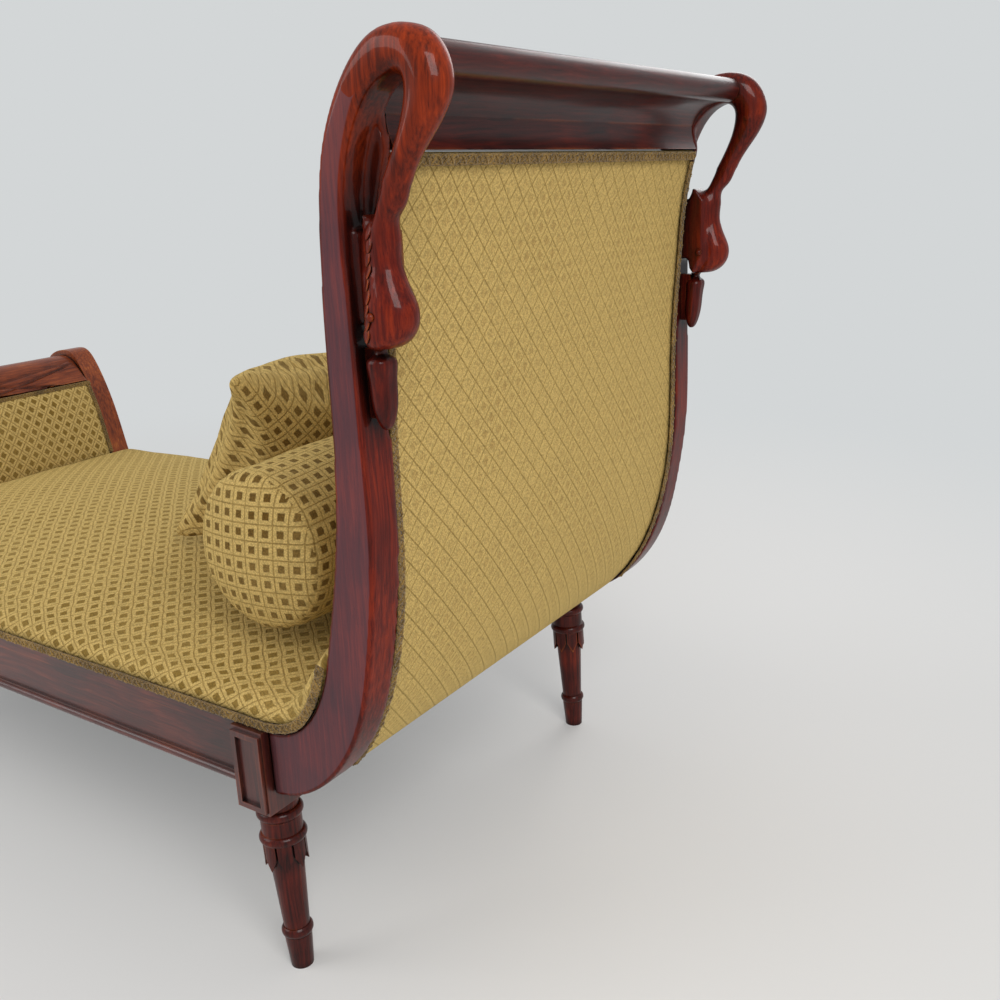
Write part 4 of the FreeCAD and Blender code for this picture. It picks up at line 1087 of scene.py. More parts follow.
@dataclass
class CarvedSides:
    """Sides of the tall end, each carved in one run from the board's foot to the swan's head."""

    finishes: Finishes
    voxel: float = 2.6 * MM
    passes: int = 4
    neck_line: Line = ((748.2, 657.9), (762.0, 661.8), (785.9, 673.6), (812.0, 688.5), (838.0, 701.5),
                       (864.0, 707.5))
    neck_faces: tuple[float, float] = (299.0 * MM, 329.0 * MM)
    neck_reach: tuple[float, float] = (34.0 * MM, 8.0 * MM)
    neck_rear: float = 19.0 * MM
    slim: float = 0.27
    slim_heights: Spot = (0.752, 0.806, 0.872)
    joint_heights: tuple[float, float] = (0.735, 0.800)
    joint_reach: tuple[float, float] = (-24.0 * MM, 30.0 * MM)
    joint_depth: float = 3.0 * MM
    joint_passes: int = 40
    rows: int = 10
    feather: Spot = (5.4 * MM, 1.1 * MM, 6.6 * MM)
    feather_foot: float = 13.0 * MM
    feather_step: float = 9.6 * MM
    feather_inset: float = 22.0 * MM
    feather_stagger: float = 1.6 * MM
    feather_drift: float = 4.0 * MM
    feather_tilt: float = math.radians(6.0)
    feather_taper: float = 0.5
    feather_ground: float = 318.5 * MM

    def build(self) -> list[Piece]:
        """Make both sides and the feather marks behind their heads.

        Returns:
            The pieces.
        """
        return [make(side) for side in Side for make in (self.side, self.feathers)]

    def side(self, side: Side) -> Piece:
        """One side, its joints eased as carving leaves them.

        Args:
            side: front or back.

        Returns:
            The new object.
        """
        nodes = [f"head_board_{side.word}", f"swan_neck_{side.word}", f"swan_head_{side.word}"]
        mesh = carved_skin(f"carved_side_{side.word}", nodes, self.voxel, self.passes)
        put_spots(mesh, self.slimmed(spots_of(mesh)))
        self.ease_joint(mesh)
        thing = linked(f"carved_side_{side.word}", mesh)
        dress(thing, self.finishes.carved, "root")
        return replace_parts(thing, *nodes)

    def slimmed(self, spots: Points) -> Points:
        """Draw the neck in where it runs down into the head.

        Args:
            spots: points of a carved side.

        Returns:
            The same points, those of the neck drawn towards its outer, rear edge.
        """
        heights, middles = np.array(self.neck_line).T * MM
        x, y, z = spots.T
        axis = np.interp(z, heights, middles)
        low, full, high = self.slim_heights
        rise = np.clip(np.where(z < full, (z - low) / (full - low), (high - z) / (high - full)), 0, 1)
        share = self.slim * rise ** 2 * (3 - 2 * rise)
        reach, fade = self.neck_reach
        near = np.clip((reach - np.abs(x - axis)) / fade, 0, 1)
        inner, outer = self.neck_faces
        share = share * near * ((np.abs(y) > inner - MM) & (np.abs(y) < outer + MM))
        rear = axis - self.neck_rear
        drawn = spots.copy()
        drawn[:, 0] = x + (rear - x) * share * (x > rear)
        drawn[:, 1] = y + (np.sign(y) * outer - y) * share
        return drawn

    def ease_joint(self, mesh: Mesh) -> None:
        """Smooth the run from the neck into the head, where the carver leaves no step.

        Args:
            mesh: the carved side's mesh, whose points are moved.
        """
        heights, middles = np.array(self.neck_line).T * MM
        work = bmesh.new()
        work.from_mesh(mesh)
        low, high = self.joint_heights
        rear, fore = self.joint_reach
        run = [v for v in work.verts if low < v.co.z < high
               and rear < v.co.x - np.interp(v.co.z, heights, middles) < fore
               and abs(v.co.y) > self.neck_faces[0] - self.joint_depth]
        for _ in range(self.joint_passes):
            bmesh.ops.smooth_vert(work, verts=run, factor=0.5, use_axis_x=True, use_axis_y=True, use_axis_z=True)
        work.to_mesh(mesh)
        work.free()

    def feathers(self, side: Side) -> Piece:
        """Rows of small leaf marks down the band behind the head, laid on the carved surface.

        Args:
            side: front or back.

        Returns:
            The new object.
        """
        carved = bpy.data.objects[f"carved_side_{side.word}"]
        surface = BVHTree.FromPolygons([v.co for v in carved.data.vertices],
                                       [tuple(p.vertices) for p in carved.data.polygons])
        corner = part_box(f"swan_head_{side.word}")[0]
        tilt = Matrix.Rotation(self.feather_tilt * side.value, 3, "X")
        spots: list[Points] = []
        faces: list[tuple[int, ...]] = []
        for row in range(self.rows):
            z = corner.z + self.feather_foot + self.feather_step * row
            x = (corner.x + self.feather_inset + self.feather_stagger * (row % 2)
                 + self.feather_drift * (row / self.rows) ** 2)
            hit, normal, _, _ = surface.ray_cast(Vector((x, side.value * 0.4, z)), Vector((0, -side.value, 0)))
            if hit is None or abs(hit.y) < self.feather_ground:
                continue
            turn = Vector((0, side.value, 0)).rotation_difference(normal).to_matrix()
            leaf, rims = self.leaf()
            base = sum(len(s) for s in spots)
            faces += [tuple(base + k for k in rim) for rim in rims]
            spots.append(leaf * np.array(self.feather) @ np.array(turn @ tilt).T + np.array(hit))
        return piece_from(f"feather_marks_{side.word}", np.concatenate(spots), faces, self.finishes.carved)

    def leaf(self) -> tuple[Points, list[list[int]]]:
        """One leaf of unit size, round above and pointed below.

        Returns:
            Its points, and its faces as point numbers.
        """
        work = bmesh.new()
        bmesh.ops.create_uvsphere(work, u_segments=14, v_segments=10, radius=1.0)
        spots = np.array([v.co for v in work.verts])
        pointed = 1 - np.abs(spots[:, 2]) ** 1.6 * self.feather_taper
        spots[:, 0] *= np.where(spots[:, 2] < 0, pointed, 1.0)
        rims = [[v.index for v in f.verts] for f in work.faces]
        work.free()
        return spots, rims


def carved_skin(name: str, nodes: Sequence[str], voxel: float, passes: int,
                packing: Sequence[tuple[Line, float]] = ()) -> Mesh:
    """Run several CAD solids together into one eased skin.

    Args:
        name: the mesh's name.
        nodes: the CAD nodes.
        voxel: size of the remesh in metres.
        passes: smoothing passes.
        packing: pairs of an outline in the XZ plane, in millimetres, and the half width that it runs across.

    Returns:
        The new mesh.
    """
    work = bmesh.new()
    for node in nodes:
        work.from_mesh(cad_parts[node].data)
    bmesh.ops.remove_doubles(work, verts=work.verts, dist=WELD)
    for outline, half in packing:
        ends = [[work.verts.new((x * MM, y, z * MM)) for x, z in outline] for y in (-half, half)]
        block = [work.faces.new(ends[0]), work.faces.new(ends[1][::-1])]
        for i in range(len(outline)):
            j = (i + 1) % len(outline)
            block.append(work.faces.new((ends[0][j], ends[0][i], ends[1][i], ends[1][j])))
        bmesh.ops.recalc_face_normals(work, faces=block)
    mesh = bpy.data.meshes.new(name)
    work.to_mesh(mesh)
    work.free()
    draft = linked(name + "_draft", mesh)
    remesh = draft.modifiers.new("skin", "REMESH")
    remesh.mode = "VOXEL"
    remesh.voxel_size = voxel
    smooth = draft.modifiers.new("ease", "SMOOTH")
    smooth.factor = 0.5
    smooth.iterations = passes
    bpy.context.view_layer.update()
    skin = applied(draft)
    bpy.data.objects.remove(draft)
    skin.polygons.foreach_set("use_smooth", [True] * len(skin.polygons))
    return skin


@dataclass
class TallEnd:
    """Outer cover and braids of the tall end."""

    finishes: Finishes
    half_width: float = 285.8 * MM
    cover_line: Line = ((528.7, 236.2), (550.4, 258.2), (580.8, 300.1), (613.3, 383.9), (625.0, 451.8),
                        (627.8, 533.6), (629.5, 625.6), (634.8, 702.2), (639.5, 758.4), (652.5, 823.8))
    inner_line: Line = ((478.5, 297.0), (517.9, 308.0), (548.5, 343.3), (570.2, 409.9), (586.3, 491.0),
                        (595.3, 580.1), (596.8, 676.3), (598.5, 738.0), (603.5, 823.8))
    pucker: float = 0.35 * MM
    pad_lift: float = 10.0 * MM
    braid_inset: float = 4.5 * MM
    braid_sunk: float = 2.2 * MM
    top_braid_lift: float = 2.0 * MM

    def build(self) -> list[Piece]:
        """Make the cover and the braids.

        Returns:
            The pieces.
        """
        return [self.outer_cover(), self.outer_braid(), self.inner_braid()]

    def outer_cover(self) -> Piece:
        """Velvet over the outside, from the cove down and under to the end rail.

        Returns:
            The new object.
        """
        line = SmoothLine(self.cover_line)
        cover = StretchedCover(self.finishes.cover_cloth_painted_sheen, self.half_width, 1, pucker=self.pucker)
        thing = cover.lay("tall_end_outer_cover", line, (0.0, 0.995), 150, 110)
        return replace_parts(thing, "head_outer_cover")

    def outer_braid(self) -> Piece:
        """Braid along both edges of the outer cover and under the cove.

        Returns:
            The new object.
        """
        line = SmoothLine(self.cover_line)
        edge = self.half_width - self.braid_inset
        runs = [side_run(line, 0.055, 0.975, side.value * edge, -self.braid_sunk, 1) for side in Side]
        runs.append(top_run(line, 0.987, self.half_width, -self.braid_sunk, 1))
        return GimpBraid(self.finishes.braid).lay("tall_end_outer_braid", runs, ["head_outer_braid"])

    def inner_braid(self) -> Piece:
        """Braid up both edges of the inner padding and across under the cove.

        Returns:
            The new object.
        """
        line = SmoothLine(self.inner_line)
        edge = self.half_width - self.braid_inset
        runs = [side_run(line, 0.31, 0.93, side.value * edge, self.pad_lift, -1) for side in Side]
        runs.append(top_run(line, 0.965, self.half_width, self.pad_lift + self.top_braid_lift, -1))
        return GimpBraid(self.finishes.braid).lay("tall_end_inner_braid", runs, ["head_inner_braid"])


@dataclass
class Seat:
    """Stuffed seat with its turn up into the tall end, and the braid along the long rails."""

    finishes: Finishes
    weave_line: Line = ((-560.0, 345.0), (-300.0, 352.0), (0.0, 357.0), (300.0, 350.0), (440.0, 345.0),
                        (500.0, 352.0), (535.0, 385.0), (556.0, 440.0), (570.0, 520.0), (574.0, 600.0),
                        (577.0, 700.0), (585.0, 800.0))
    edge_roll: Spot = (0.290, 0.306, 0.033)
    crease: Line = ((546.0, 394.0), (568.0, 398.0), (584.0, 428.0), (562.0, 434.0))
    crease_half: float = 284.0 * MM
    tack_pitch: float = 37.0 * MM
    tack_depth: float = 0.2 * MM
    tack_rise: float = 22.0 * MM
    tack_band: tuple[float, float] = (270.0 * MM, 50.0 * MM)
    wave: tuple[float, float] = (160.0 * MM, 0.8 * MM)
    half_outer: float = 324.0 * MM
    rail_top: float = 297.0 * MM
    run_from: float = -557.0 * MM
    rail_gap: float = 4.7 * MM
    climb_gap: float = 4.6 * MM
    climb_to: float = 0.27

    def build(self) -> list[Piece]:
        """Make the stuffing and the braids.

        Returns:
            The pieces.
        """
        return [self.stuffing()] + [self.braid(side) for side in Side]

    def stuffing(self) -> Piece:
        """One velvet cover over the seat, the elbow and the inside of the tall end.

        Returns:
            The new object.
        """
        thing = stuffed("seat_and_tall_end_stuffing", ["seat_pad", "seat_elbow_pad", "head_inner_pad"],
                        self.finishes.seat_cloth_painted_sheen, "root", voxel=7 * MM, shrink=-1 * MM, passes=3, pressure=4.0,
                        cap=3.5 * MM, packing=[(self.crease, self.crease_half)])
        spots = spots_of(thing.data)
        band_from, band = self.tack_band
        raised = np.clip((spots[:, 2] - self.rail_top) / self.tack_rise, 0, 1)
        edge = np.clip((np.abs(spots[:, 1]) - band_from) / band, 0, 1) * (1 - raised)
        pucker = np.sin(spots[:, 0] * 2 * math.pi / self.tack_pitch) * edge * self.tack_depth
        length, depth = self.wave
        put_spots(thing.data, spots + normals_of(thing.data) * (pucker + ripple(spots, length, 2.0) * depth)[:, None])
        spots = spots_of(thing.data)
        along = SmoothLine(self.weave_line).travel(spots[:, [0, 2]])
        middle_y, middle_z, bend = self.edge_roll
        beyond = np.abs(spots[:, 1]) - middle_y
        rolled = middle_y + bend * np.arctan2(beyond, spots[:, 2] - middle_z)
        across = np.where(beyond > 0, rolled, np.abs(spots[:, 1]))
        write_weave(thing, along, np.sign(spots[:, 1]) * across)
        subdivide(thing)
        return thing

    def braid(self, side: Side) -> Piece:
        """Braid along a long rail's top edge, then up the tall end's board beside the stuffing.

        Args:
            side: front or back.

        Returns:
            The new object.
        """
        spots, tangents = SmoothLine(TallEnd.inner_line[:8]).at(np.linspace(0.0, self.climb_to, 50))
        inward = np.stack([-tangents[:, 1], tangents[:, 0]], 1)
        climb = spots + inward * self.climb_gap
        x = np.linspace(self.run_from, spots[0, 0] - 3 * MM, 80)
        level = np.stack([x, np.full(len(x), self.rail_top + self.rail_gap)], 1)
        path = np.concatenate([level, climb])
        points = np.stack([path[:, 0], np.full(len(path), side.value * (self.half_outer + 0.4 * MM)), path[:, 1]], 1)
        ways = np.concatenate([np.tile([0.0, 1.0], (len(x), 1)), inward])
        across = np.stack([ways[:, 0], np.zeros(len(path)), ways[:, 1]], 1)
        outward = np.tile([0.0, float(side.value), 0.0], (len(path), 1))
        return GimpBraid(self.finishes.braid).lay(f"seat_braid_trim_{side.word}", [(points, across, outward)],
                                                  [f"seat_braid_{side.word}"])


@dataclass
class LowEnd:
    """Padding, outer cover, braid and carved crest rail of the low end."""

    finishes: Finishes
    half_width: float = 285.8 * MM
    outer_line: Line = ((-600.5, 297.0), (-615.0, 332.7), (-629.8, 372.6), (-647.6, 406.2))
    inner_line: Line = ((-557.0, 305.0), (-564.4, 328.9), (-576.5, 374.9), (-591.5, 420.1), (-605.0, 450.0))
    braid_inset: float = 4.5 * MM
    braid_lift: float = 6.0 * MM
    top_braid_lift: float = 1.0 * MM
    ring_step: float = 1.2 * MM
    # Each groove: its height on the rail in the middle and at the ends, as shares, and its share of the depth.
    grooves: tuple[Spot, ...] = ((0.20, 0.84, 1.0), (0.84, 0.20, 1.0), (0.52, 0.90, 0.7), (0.52, 0.12, 0.7))
    groove_width: tuple[float, float] = (0.035, 0.02)
    groove_depth: float = 4.2 * MM
    groove_fade: float = 30.0 * MM
    grooved_from: float = 0.08

    def build(self) -> list[Piece]:
        """Make the soft pieces and the carved rail.

        Returns:
            The pieces.
        """
        return [self.padding(), self.outer_cover(), self.braid(), self.crest()]

    def padding(self) -> Piece:
        """Crowned inner padding.

        Returns:
            The new object.
        """
        thing = stuffed("low_end_stuffing", ["foot_inner_pad"], self.finishes.seat_cloth_painted_sheen, "root", voxel=5 * MM,
                        shrink=-1 * MM, passes=2, pressure=4.0, cap=3.0 * MM)
        spots = spots_of(thing.data)
        along = SmoothLine(self.inner_line).travel(spots[:, [0, 2]])
        write_weave(thing, along, spots[:, 1])
        subdivide(thing)
        return thing

    def outer_cover(self) -> Piece:
        """Velvet over the outside of the low end.

        Returns:
            The new object.
        """
        line = SmoothLine(self.outer_line)
        cover = StretchedCover(self.finishes.cover_cloth_painted_sheen, self.half_width, -1)
        thing = cover.lay("low_end_outer_cover", line, (0.02, 0.92), 40, 90)
        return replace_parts(thing, "foot_outer_cover")

    def braid(self) -> Piece:
        """Braid up both edges of the inner padding and across its top.

        Returns:
            The new object.
        """
        line = SmoothLine(self.inner_line)
        edge = self.half_width - self.braid_inset
        runs = [side_run(line, 0.06, 0.95, side.value * edge, self.braid_lift, 1) for side in Side]
        runs.append(top_run(line, 0.965, self.half_width, self.braid_lift + self.top_braid_lift, 1))
        narrow = GimpBraid(self.finishes.braid, width=8 * MM, pitch=6.6 * MM, cord=1.05 * MM)
        return narrow.lay("low_end_braid", runs, ["foot_inner_braid"])

    def crest(self) -> Piece:
        """Rolled rail with long tapering grooves that cross along its seat side.

        Returns:
            The new object.
        """
        ring, inward = self.crest_ring()
        y = np.linspace(-self.half_width, self.half_width, 240)
        depth = self.groove_depths(ring, inward, y)
        spots = np.empty((len(ring), len(y), 3))
        spots[:, :, 0] = ring[:, :1] + inward[:, :1] * depth
        spots[:, :, 1] = y[None]
        spots[:, :, 2] = ring[:, 1:] + inward[:, 1:] * depth
        size, columns = len(ring), len(y)
        faces = []
        for i in range(size):
            for j in range(columns - 1):
                a, b = i * columns + j, ((i + 1) % size) * columns + j
                faces.append((a, a + 1, b + 1, b))
        faces.append([i * columns for i in range(size)])
        faces.append([i * columns + columns - 1 for i in reversed(range(size))])
        thing = piece_from("low_end_crest", spots.reshape(-1, 3), faces, self.finishes.low_rail)
        face_outward(thing)
        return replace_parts(thing, "foot_crest_rail")

    def crest_ring(self) -> tuple[Points, Points]:
        """Even points round the crest rail's end.

        Returns:
            The (x, z) points and the unit directions into the wood there.
        """
        outline = end_outline("foot_crest_rail")
        closed = np.vstack([outline, outline[:1]])
        travel = np.concatenate([[0], np.cumsum(np.linalg.norm(np.diff(closed, axis=0), axis=1))])
        where = np.linspace(0, travel[-1], int(travel[-1] / self.ring_step), endpoint=False)
        ring = np.stack([np.interp(where, travel, closed[:, k]) for k in (0, 1)], 1)
        ahead = np.roll(ring, -1, 0) - np.roll(ring, 1, 0)
        ahead /= np.linalg.norm(ahead, axis=1)[:, None]
        inward = np.stack([-ahead[:, 1], ahead[:, 0]], 1)
        if ((ring.mean(0) - ring) * inward).sum() < 0:
            inward = -inward
        return ring, inward

    def groove_depths(self, ring: Points, inward: Points, y: Points) -> Points:
        """How deep the carver's grooves are all over the crest rail.

        Args:
            ring: points round the rail's end.
            inward: directions into the wood there.
            y: stations along the rail.

        Returns:
            Depths in metres, ring points by stations.
        """
        low, top = ring[:, 1].min(), ring[:, 1].max()
        height = (ring[:, 1] - low) / (top - low)
        seat_side = (inward[:, 0] < 0.2) & (height > self.grooved_from)
        share = np.abs((y + self.half_width) / self.half_width - 1)
        narrow, more = self.groove_width
        width = narrow + more * np.sin(math.pi * share)
        depth = np.zeros((len(ring), len(y)))
        for start, stop, reach in self.grooves:
            level = start + (stop - start) * share
            cut = np.clip(1 - np.abs(height[:, None] - level[None]) / width[None], 0, 1)
            depth = np.maximum(depth, cut * reach)
        fade = np.clip((self.half_width - np.abs(y)) / self.groove_fade, 0, 1)
        return depth * seat_side[:, None] * fade[None] * self.groove_depth


def end_outline(node: str) -> Points:
    """Outline of a straight CAD piece at its front end, in the XZ plane.

    Args:
        node: a CAD node that runs straight across the object.

    Returns:
        Its corner points in order, in metres.
    """
    work = bmesh.new()
    work.from_mesh(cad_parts[node].data)
    bmesh.ops.remove_doubles(work, verts=work.verts, dist=WELD)
    front = min(v.co.y for v in work.verts)
    cap = [f for f in work.faces if all(v.co.y < front + FACE_SLACK for v in f.verts)]
    inside = set(cap)
    links: dict[int, list[int]] = {}
    for face in cap:
        for edge in face.edges:
            if sum(f in inside for f in edge.link_faces) == 1:
                a, b = (v.index for v in edge.verts)
                links.setdefault(a, []).append(b)
                links.setdefault(b, []).append(a)
    work.verts.ensure_lookup_table()
    first = min(links)
    order, last, here = [first], None, first
    while True:
        ahead = [k for k in links[here] if k != last and (k == first or k not in order[1:])]
        if not ahead or ahead[0] == first:
            break
        last, here = here, ahead[0]
        order.append(here)
    outline = np.array([(work.verts[k].co.x, work.verts[k].co.z) for k in order])
    work.free()
    return outline


@dataclass
class LooseCushions:
    """The bolster and the cushion that leans on it."""

    finishes: Finishes
    barrel: float = 0.80
    gathers: int = 23
    gather_depth: float = 0.9 * MM
    bolster_wave: tuple[float, float] = (130.0 * MM, 1.4 * MM)
    seam_inset: float = 14.0 * MM
    turn: float = math.radians(15.0)
    lean: float = math.radians(38.5)
    tip: float = math.radians(2.5)
    pull: float = 12.0 * MM
    creases: int = 34
    crease_depth: float = 2.2 * MM
    cushion_wave: tuple[float, float] = (110.0 * MM, 1.6 * MM)

    def build(self) -> list[Piece]:
        """Make both.

        Returns:
            The pieces.
        """
        return [self.bolster(), self.cushion()]

    def bolster(self) -> Piece:
        """Round bolster with domed ends, a little flat where it lies.

        Returns:
            The new object.
        """
        low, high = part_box("bolster")
        middle = (np.array(low) + np.array(high)) / 2
        radius = (high.z - low.z) / 2
        thing = stuffed("bolster_roll", ["bolster"], self.finishes.loose_cloth, "bolster", voxel=6 * MM,
                        shrink=-3.5 * MM, passes=3, pressure=4.0, cap=5 * MM)
        spots = spots_of(thing.data) - middle
        half = (high.y - low.y) / 2
        dome = np.clip((np.abs(spots[:, 1]) - half * self.barrel) / (half * (1 - self.barrel)), 0, 1)
        angle = np.arctan2(spots[:, 2], spots[:, 0])
        gather = np.sin(angle * self.gathers) * np.sin(math.pi * dome) * self.gather_depth
        length, depth = self.bolster_wave
        spots += normals_of(thing.data) * (gather + ripple(spots, length, 5.0) * depth)[:, None]
        put_spots(thing.data, spots + middle)
        subdivide(thing)
        fine = applied(thing)
        thing.modifiers.clear()
        thing.data = fine
        self.wrap_weave(fine, middle, half - self.seam_inset, radius)
        return thing

    def wrap_weave(self, mesh: Mesh, middle: Points, seam: float, radius: float) -> None:
        """Lay the weave round the bolster's barrel and flat over its two sewn ends.

        Args:
            mesh: the bolster's mesh.
            middle: the bolster's middle.
            seam: distance from the middle to the seams of the ends.
            radius: the barrel's radius.
        """
        spots = spots_of(mesh) - middle
        corners = np.empty(len(mesh.loops), np.int32)
        mesh.loops.foreach_get("vertex_index", corners)
        starts, counts = np.empty((2, len(mesh.polygons)), np.int32)
        mesh.polygons.foreach_get("loop_start", starts)
        mesh.polygons.foreach_get("loop_total", counts)
        middles = np.add.reduceat(spots[corners], starts, axis=0) / counts[:, None]
        capped = np.repeat(np.abs(middles[:, 1]) > seam, counts)
        centre = np.repeat(np.arctan2(middles[:, 2], middles[:, 0]), counts)
        here = spots[corners]
        angle = np.arctan2(here[:, 2], here[:, 0])
        angle = centre + (angle - centre + math.pi) % (2 * math.pi) - math.pi
        wrap = angle + np.where(centre < -math.pi / 2, 2 * math.pi, 0.0)
        along = np.where(capped, here[:, 2], wrap * radius)
        across = np.where(capped, here[:, 0], here[:, 1])
        values = np.zeros((len(corners), 3), np.float32)
        values[:, 0], values[:, 1] = (along + across) * math.sqrt(0.5), (along - across) * math.sqrt(0.5)
        mesh.attributes.new("weave", "FLOAT_VECTOR", "CORNER").data.foreach_set("vector", values.ravel())

    def cushion(self) -> Piece:
        """Square cushion with soft corners, thick in the middle, its sides drawn in.

        Returns:
            The new object.
        """
        thing = stuffed("cushion_square", ["scatter_cushion"], self.finishes.loose_cloth, "cushion", voxel=5 * MM,
                        shrink=-3 * MM, passes=6, pressure=5.0, cap=11 * MM)
        low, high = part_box("scatter_cushion")
        middle = (np.array(low) + np.array(high)) / 2
        way = (Matrix.Rotation(-self.turn, 3, "Z") @ Matrix.Rotation(self.lean, 3, "Y")
               @ Matrix.Rotation(-self.tip, 3, "X"))
        local = (spots_of(thing.data) - middle) @ np.array(way)
        u, v = (local[:, k] / np.abs(local[:, k]).max() for k in (1, 2))
        drawn = local.copy()
        drawn[:, 1] -= np.sign(u) * self.pull * (1 - v ** 2) * np.abs(u) ** 3
        drawn[:, 2] -= np.sign(v) * self.pull * (1 - u ** 2) * np.abs(v) ** 3
        put_spots(thing.data, drawn @ np.array(way).T + middle)
        corner = np.abs(u) ** 3 * np.abs(v) ** 3
        angle = np.arctan2(local[:, 2], local[:, 1])
        crease = np.sin(angle * self.creases) * corner * self.crease_depth
        length, depth = self.cushion_wave
        lift = crease + ripple(local, length, 3.0) * depth
        put_spots(thing.data, spots_of(thing.data) + normals_of(thing.data) * lift[:, None])
        write_weave(thing, local[:, 2], local[:, 1])
        subdivide(thing)
        return thing


@dataclass
class Underneath:
    """Webbing, hessian and dust cloth that carry and close the stuffing."""

    finishes: Finishes
    longest_edge: float = 45.0 * MM
    flat_angle: float = 0.02
    wave: tuple[float, float] = (210.0 * MM, 0.15 * MM)

    def build(self) -> list[Piece]:
        """Make each strip and sheet in the room that its CAD solids hold.

        Returns:
            The pieces.
        """
        f = self.finishes
        plan = (("seat_webbing_long", "jute_webs_long", f.webbing, "webbing"),
                ("seat_webbing_cross", "jute_webs_cross", f.webbing, "webbing"),
                ("head_webbing", "jute_webs_tall_end", f.webbing, "webbing"),
                ("seat_hessian", "hessian_sheet", f.hessian, "hessian"),
                ("dust_cover", "dust_cloth", f.dust_cloth, "dust_cloth"))
        return [self.cloth(*row) for row in plan]

    def cloth(self, node: str, name: str, finish: Material, slot: str) -> Piece:
        """Copy thin CAD cloth into finer, slightly uneven cloth.

        Args:
            node: the CAD node.
            name: the new piece's name.
            finish: its material.
            slot: not used.

        Returns:
            The new object.
        """
        work = bmesh.new()
        work.from_mesh(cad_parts[node].data)
        bmesh.ops.remove_doubles(work, verts=work.verts, dist=WELD)
        bmesh.ops.dissolve_limit(work, angle_limit=self.flat_angle, verts=work.verts, edges=work.edges)
        for _ in range(5):
            long_edges = [e for e in work.edges if e.calc_length() > self.longest_edge]
            if not long_edges:
                break
            bmesh.ops.subdivide_edges(work, edges=long_edges, cuts=1, use_grid_fill=True)
        bmesh.ops.triangulate(work, faces=[f for f in work.faces if len(f.verts) > 4])
        mesh = bpy.data.meshes.new(name)
        work.to_mesh(mesh)
        work.free()
        spots = spots_of(mesh)
        thing = piece_from(name, spots, [tuple(p.vertices) for p in mesh.polygons], finish, smooth=False)
        length, depth = self.wave
        put_spots(thing.data, spots + np.array([0, 0, 1.0]) * (ripple(spots, length, 1.0) * depth)[:, None])
        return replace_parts(thing, node)


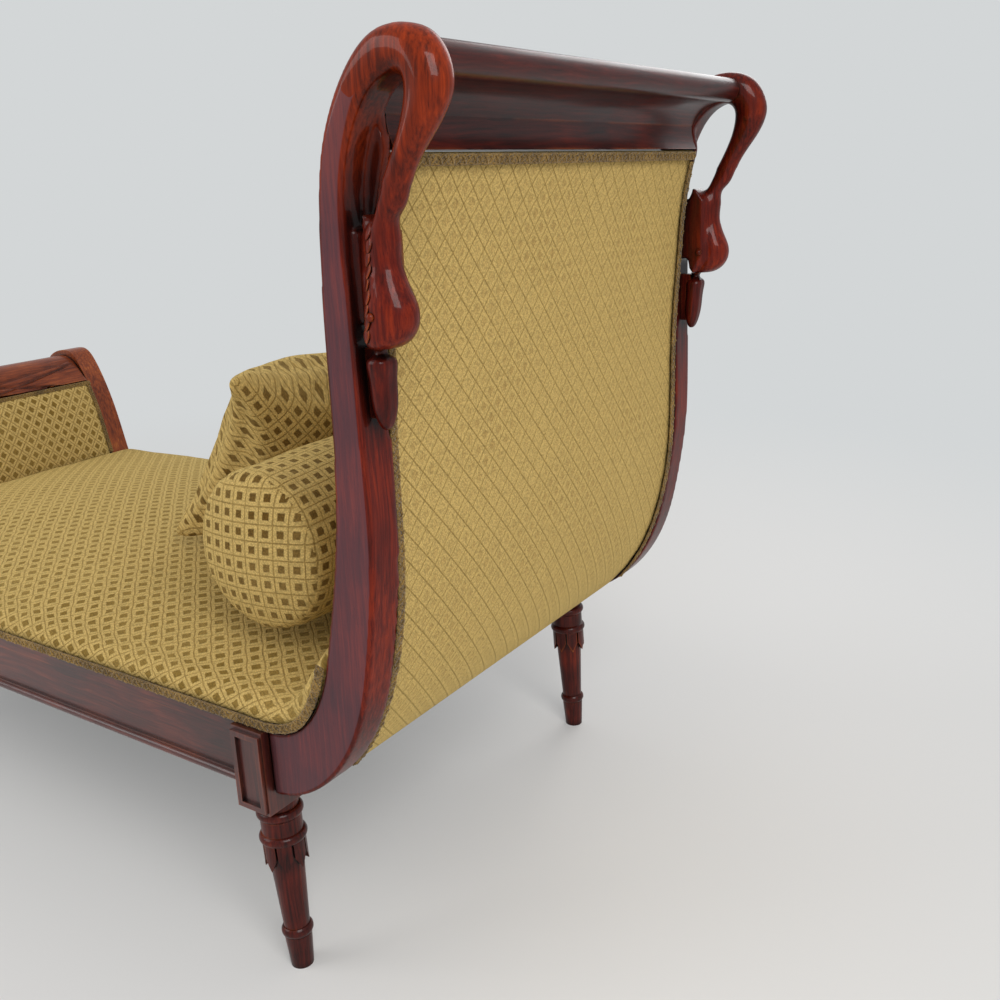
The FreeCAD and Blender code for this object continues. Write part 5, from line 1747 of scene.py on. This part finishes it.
@dataclass
class Studio:
    """Pale seamless floor, soft lamps and the camera."""

    floor: str = "#E2DFDB"
    air: str = "#D3D6D7"
    daylight: str = "#F1F3F6"
    daylight_strength: float = 0.62
    radius: float = 9.0
    fade: tuple[float, float] = (0.7, 2.6)
    fade_least: float = 0.2
    # Each lamp: its name, where it hangs, the point it faces, the length of its sides and its power.
    lamps: tuple[tuple[str, Spot, Spot, float, float], ...] = (
        ("key", (2.7, -1.6, 2.5), (0.3, 0.0, 0.5), 1.7, 62.0),
        ("fill", (-2.2, -2.6, 2.3), (0.0, 0.0, 0.4), 2.2, 46.0),
        ("rim", (0.2, 3.0, 2.0), (0.3, 0.0, 0.5), 1.6, 20.0),
    )
    sensor_mm: float = 36.0
    focal_length: float = 1.04584
    camera_place: Spot = (1.1776, -0.9422, 0.8028)
    camera_angles: Spot = (56.027, 17.261, -2.162)

    def build(self) -> None:
        """Set up the room and the camera."""
        bpy.context.scene.view_settings.view_transform = "Standard"
        self.ground()
        self.surround()
        for lamp in self.lamps:
            self.lamp(*lamp)
        self.camera()

    def ground(self) -> None:
        """Large paper floor that fades into the background away from the object, for the camera and gloss."""
        material, tree = blank("seamless_paper")
        place = add(tree, "NewGeometry").outputs["Position"]
        far = add(tree, "VectorMath", {"operation": "LENGTH"}, _0=place)
        fade = add(tree, "MapRange", SMOOTH, Value=far.outputs["Value"], From_Min=self.fade[0],
                   From_Max=self.fade[1], To_Min=self.fade_least)
        rays = add(tree, "LightPath")
        seen = add(tree, "Math", LARGER, _0=rays.outputs["Is Camera Ray"], _1=rays.outputs["Is Glossy Ray"])
        clear = add(tree, "Math", LARGER, _0=seen.outputs[0], _1=rays.outputs["Is Transmission Ray"])
        share = add(tree, "Math", TIMES, _0=fade.outputs[0], _1=clear.outputs[0])
        paper = add(tree, "BsdfPrincipled", Base_Color=linear(self.floor), Roughness=0.6)
        glow = add(tree, "Emission", Color=linear(self.air), Strength=1.0)
        close(tree, add(tree, "MixShader", _0=share.outputs[0], _1=paper.outputs[0], _2=glow.outputs[0]))
        corners = [(self.radius * math.cos(a), self.radius * math.sin(a), 0.0)
                   for a in np.linspace(0, 2 * math.pi, 64, endpoint=False)]
        mesh = bpy.data.meshes.new("floor")
        mesh.from_pydata(corners, [], [list(range(len(corners)))])
        mesh.materials.append(material)
        linked("floor", mesh)

    def surround(self) -> None:
        """Soft light from all around, and the pale background that the camera sees."""
        world = bpy.data.worlds.new("room")
        bpy.context.scene.world = world
        world.use_nodes = True
        tree = world.node_tree
        tree.nodes.clear()
        rays = add(tree, "LightPath")
        seen = add(tree, "Math", LARGER, _0=rays.outputs["Is Camera Ray"], _1=rays.outputs["Is Transmission Ray"])
        soft = add(tree, "Background", Color=linear(self.daylight), Strength=self.daylight_strength)
        pale = add(tree, "Background", Color=linear(self.air), Strength=1.0)
        mixed = add(tree, "MixShader", _0=seen.outputs[0], _1=soft.outputs[0], _2=pale.outputs[0])
        output = add(tree, "OutputWorld")
        tree.links.new(mixed.outputs[0], output.inputs["Surface"])

    def lamp(self, name: str, place: Spot, aim: Spot, size: float, watts: float) -> None:
        """Hang one square soft box.

        Args:
            name: its name.
            place: where it hangs, in metres.
            aim: the point it faces.
            size: length of its sides.
            watts: its power.
        """
        data = bpy.data.lights.new(name, "AREA")
        data.shape = "SQUARE"
        data.size = size
        data.energy = watts
        lamp = linked(name, data)
        lamp.location = place
        lamp.rotation_euler = (Vector(aim) - Vector(place)).to_track_quat("-Z", "Y").to_euler()

    def camera(self) -> None:
        """Set the camera at the photograph's place and angle."""
        yaw, pitch, roll = (math.radians(a) for a in self.camera_angles)
        ahead = Vector((-math.cos(yaw) * math.cos(pitch), math.sin(yaw) * math.cos(pitch), -math.sin(pitch)))
        level = ahead.cross(Vector((0, 0, 1))).normalized()
        rise = level.cross(ahead)
        right = math.cos(roll) * level + math.sin(roll) * rise
        top = -math.sin(roll) * level + math.cos(roll) * rise
        data = bpy.data.cameras.new("camera")
        data.sensor_width = self.sensor_mm
        data.sensor_fit = "HORIZONTAL"
        data.lens = self.focal_length * self.sensor_mm
        data.clip_start = 0.02
        camera = linked("camera", data)
        camera.matrix_world = (Matrix.Translation(self.camera_place)
                               @ Matrix((right, top, -ahead)).transposed().to_4x4())
        bpy.context.scene.camera = camera


def main() -> None:
    """Set up the room, then build each sub-assembly and report its pieces."""
    logging.basicConfig(level=logging.INFO, format="%(message)s")
    Studio().build()
    finishes = Finishes()
    for kind in (Woodwork, CarvedSides, Seat, TallEnd, LowEnd, LooseCushions, Underneath):
        for piece in kind(finishes).build():
            LOG.info("%s: %s in %s", kind.__name__, piece.name, piece.data.materials[0].name)


if __name__ == "__main__":
    main()
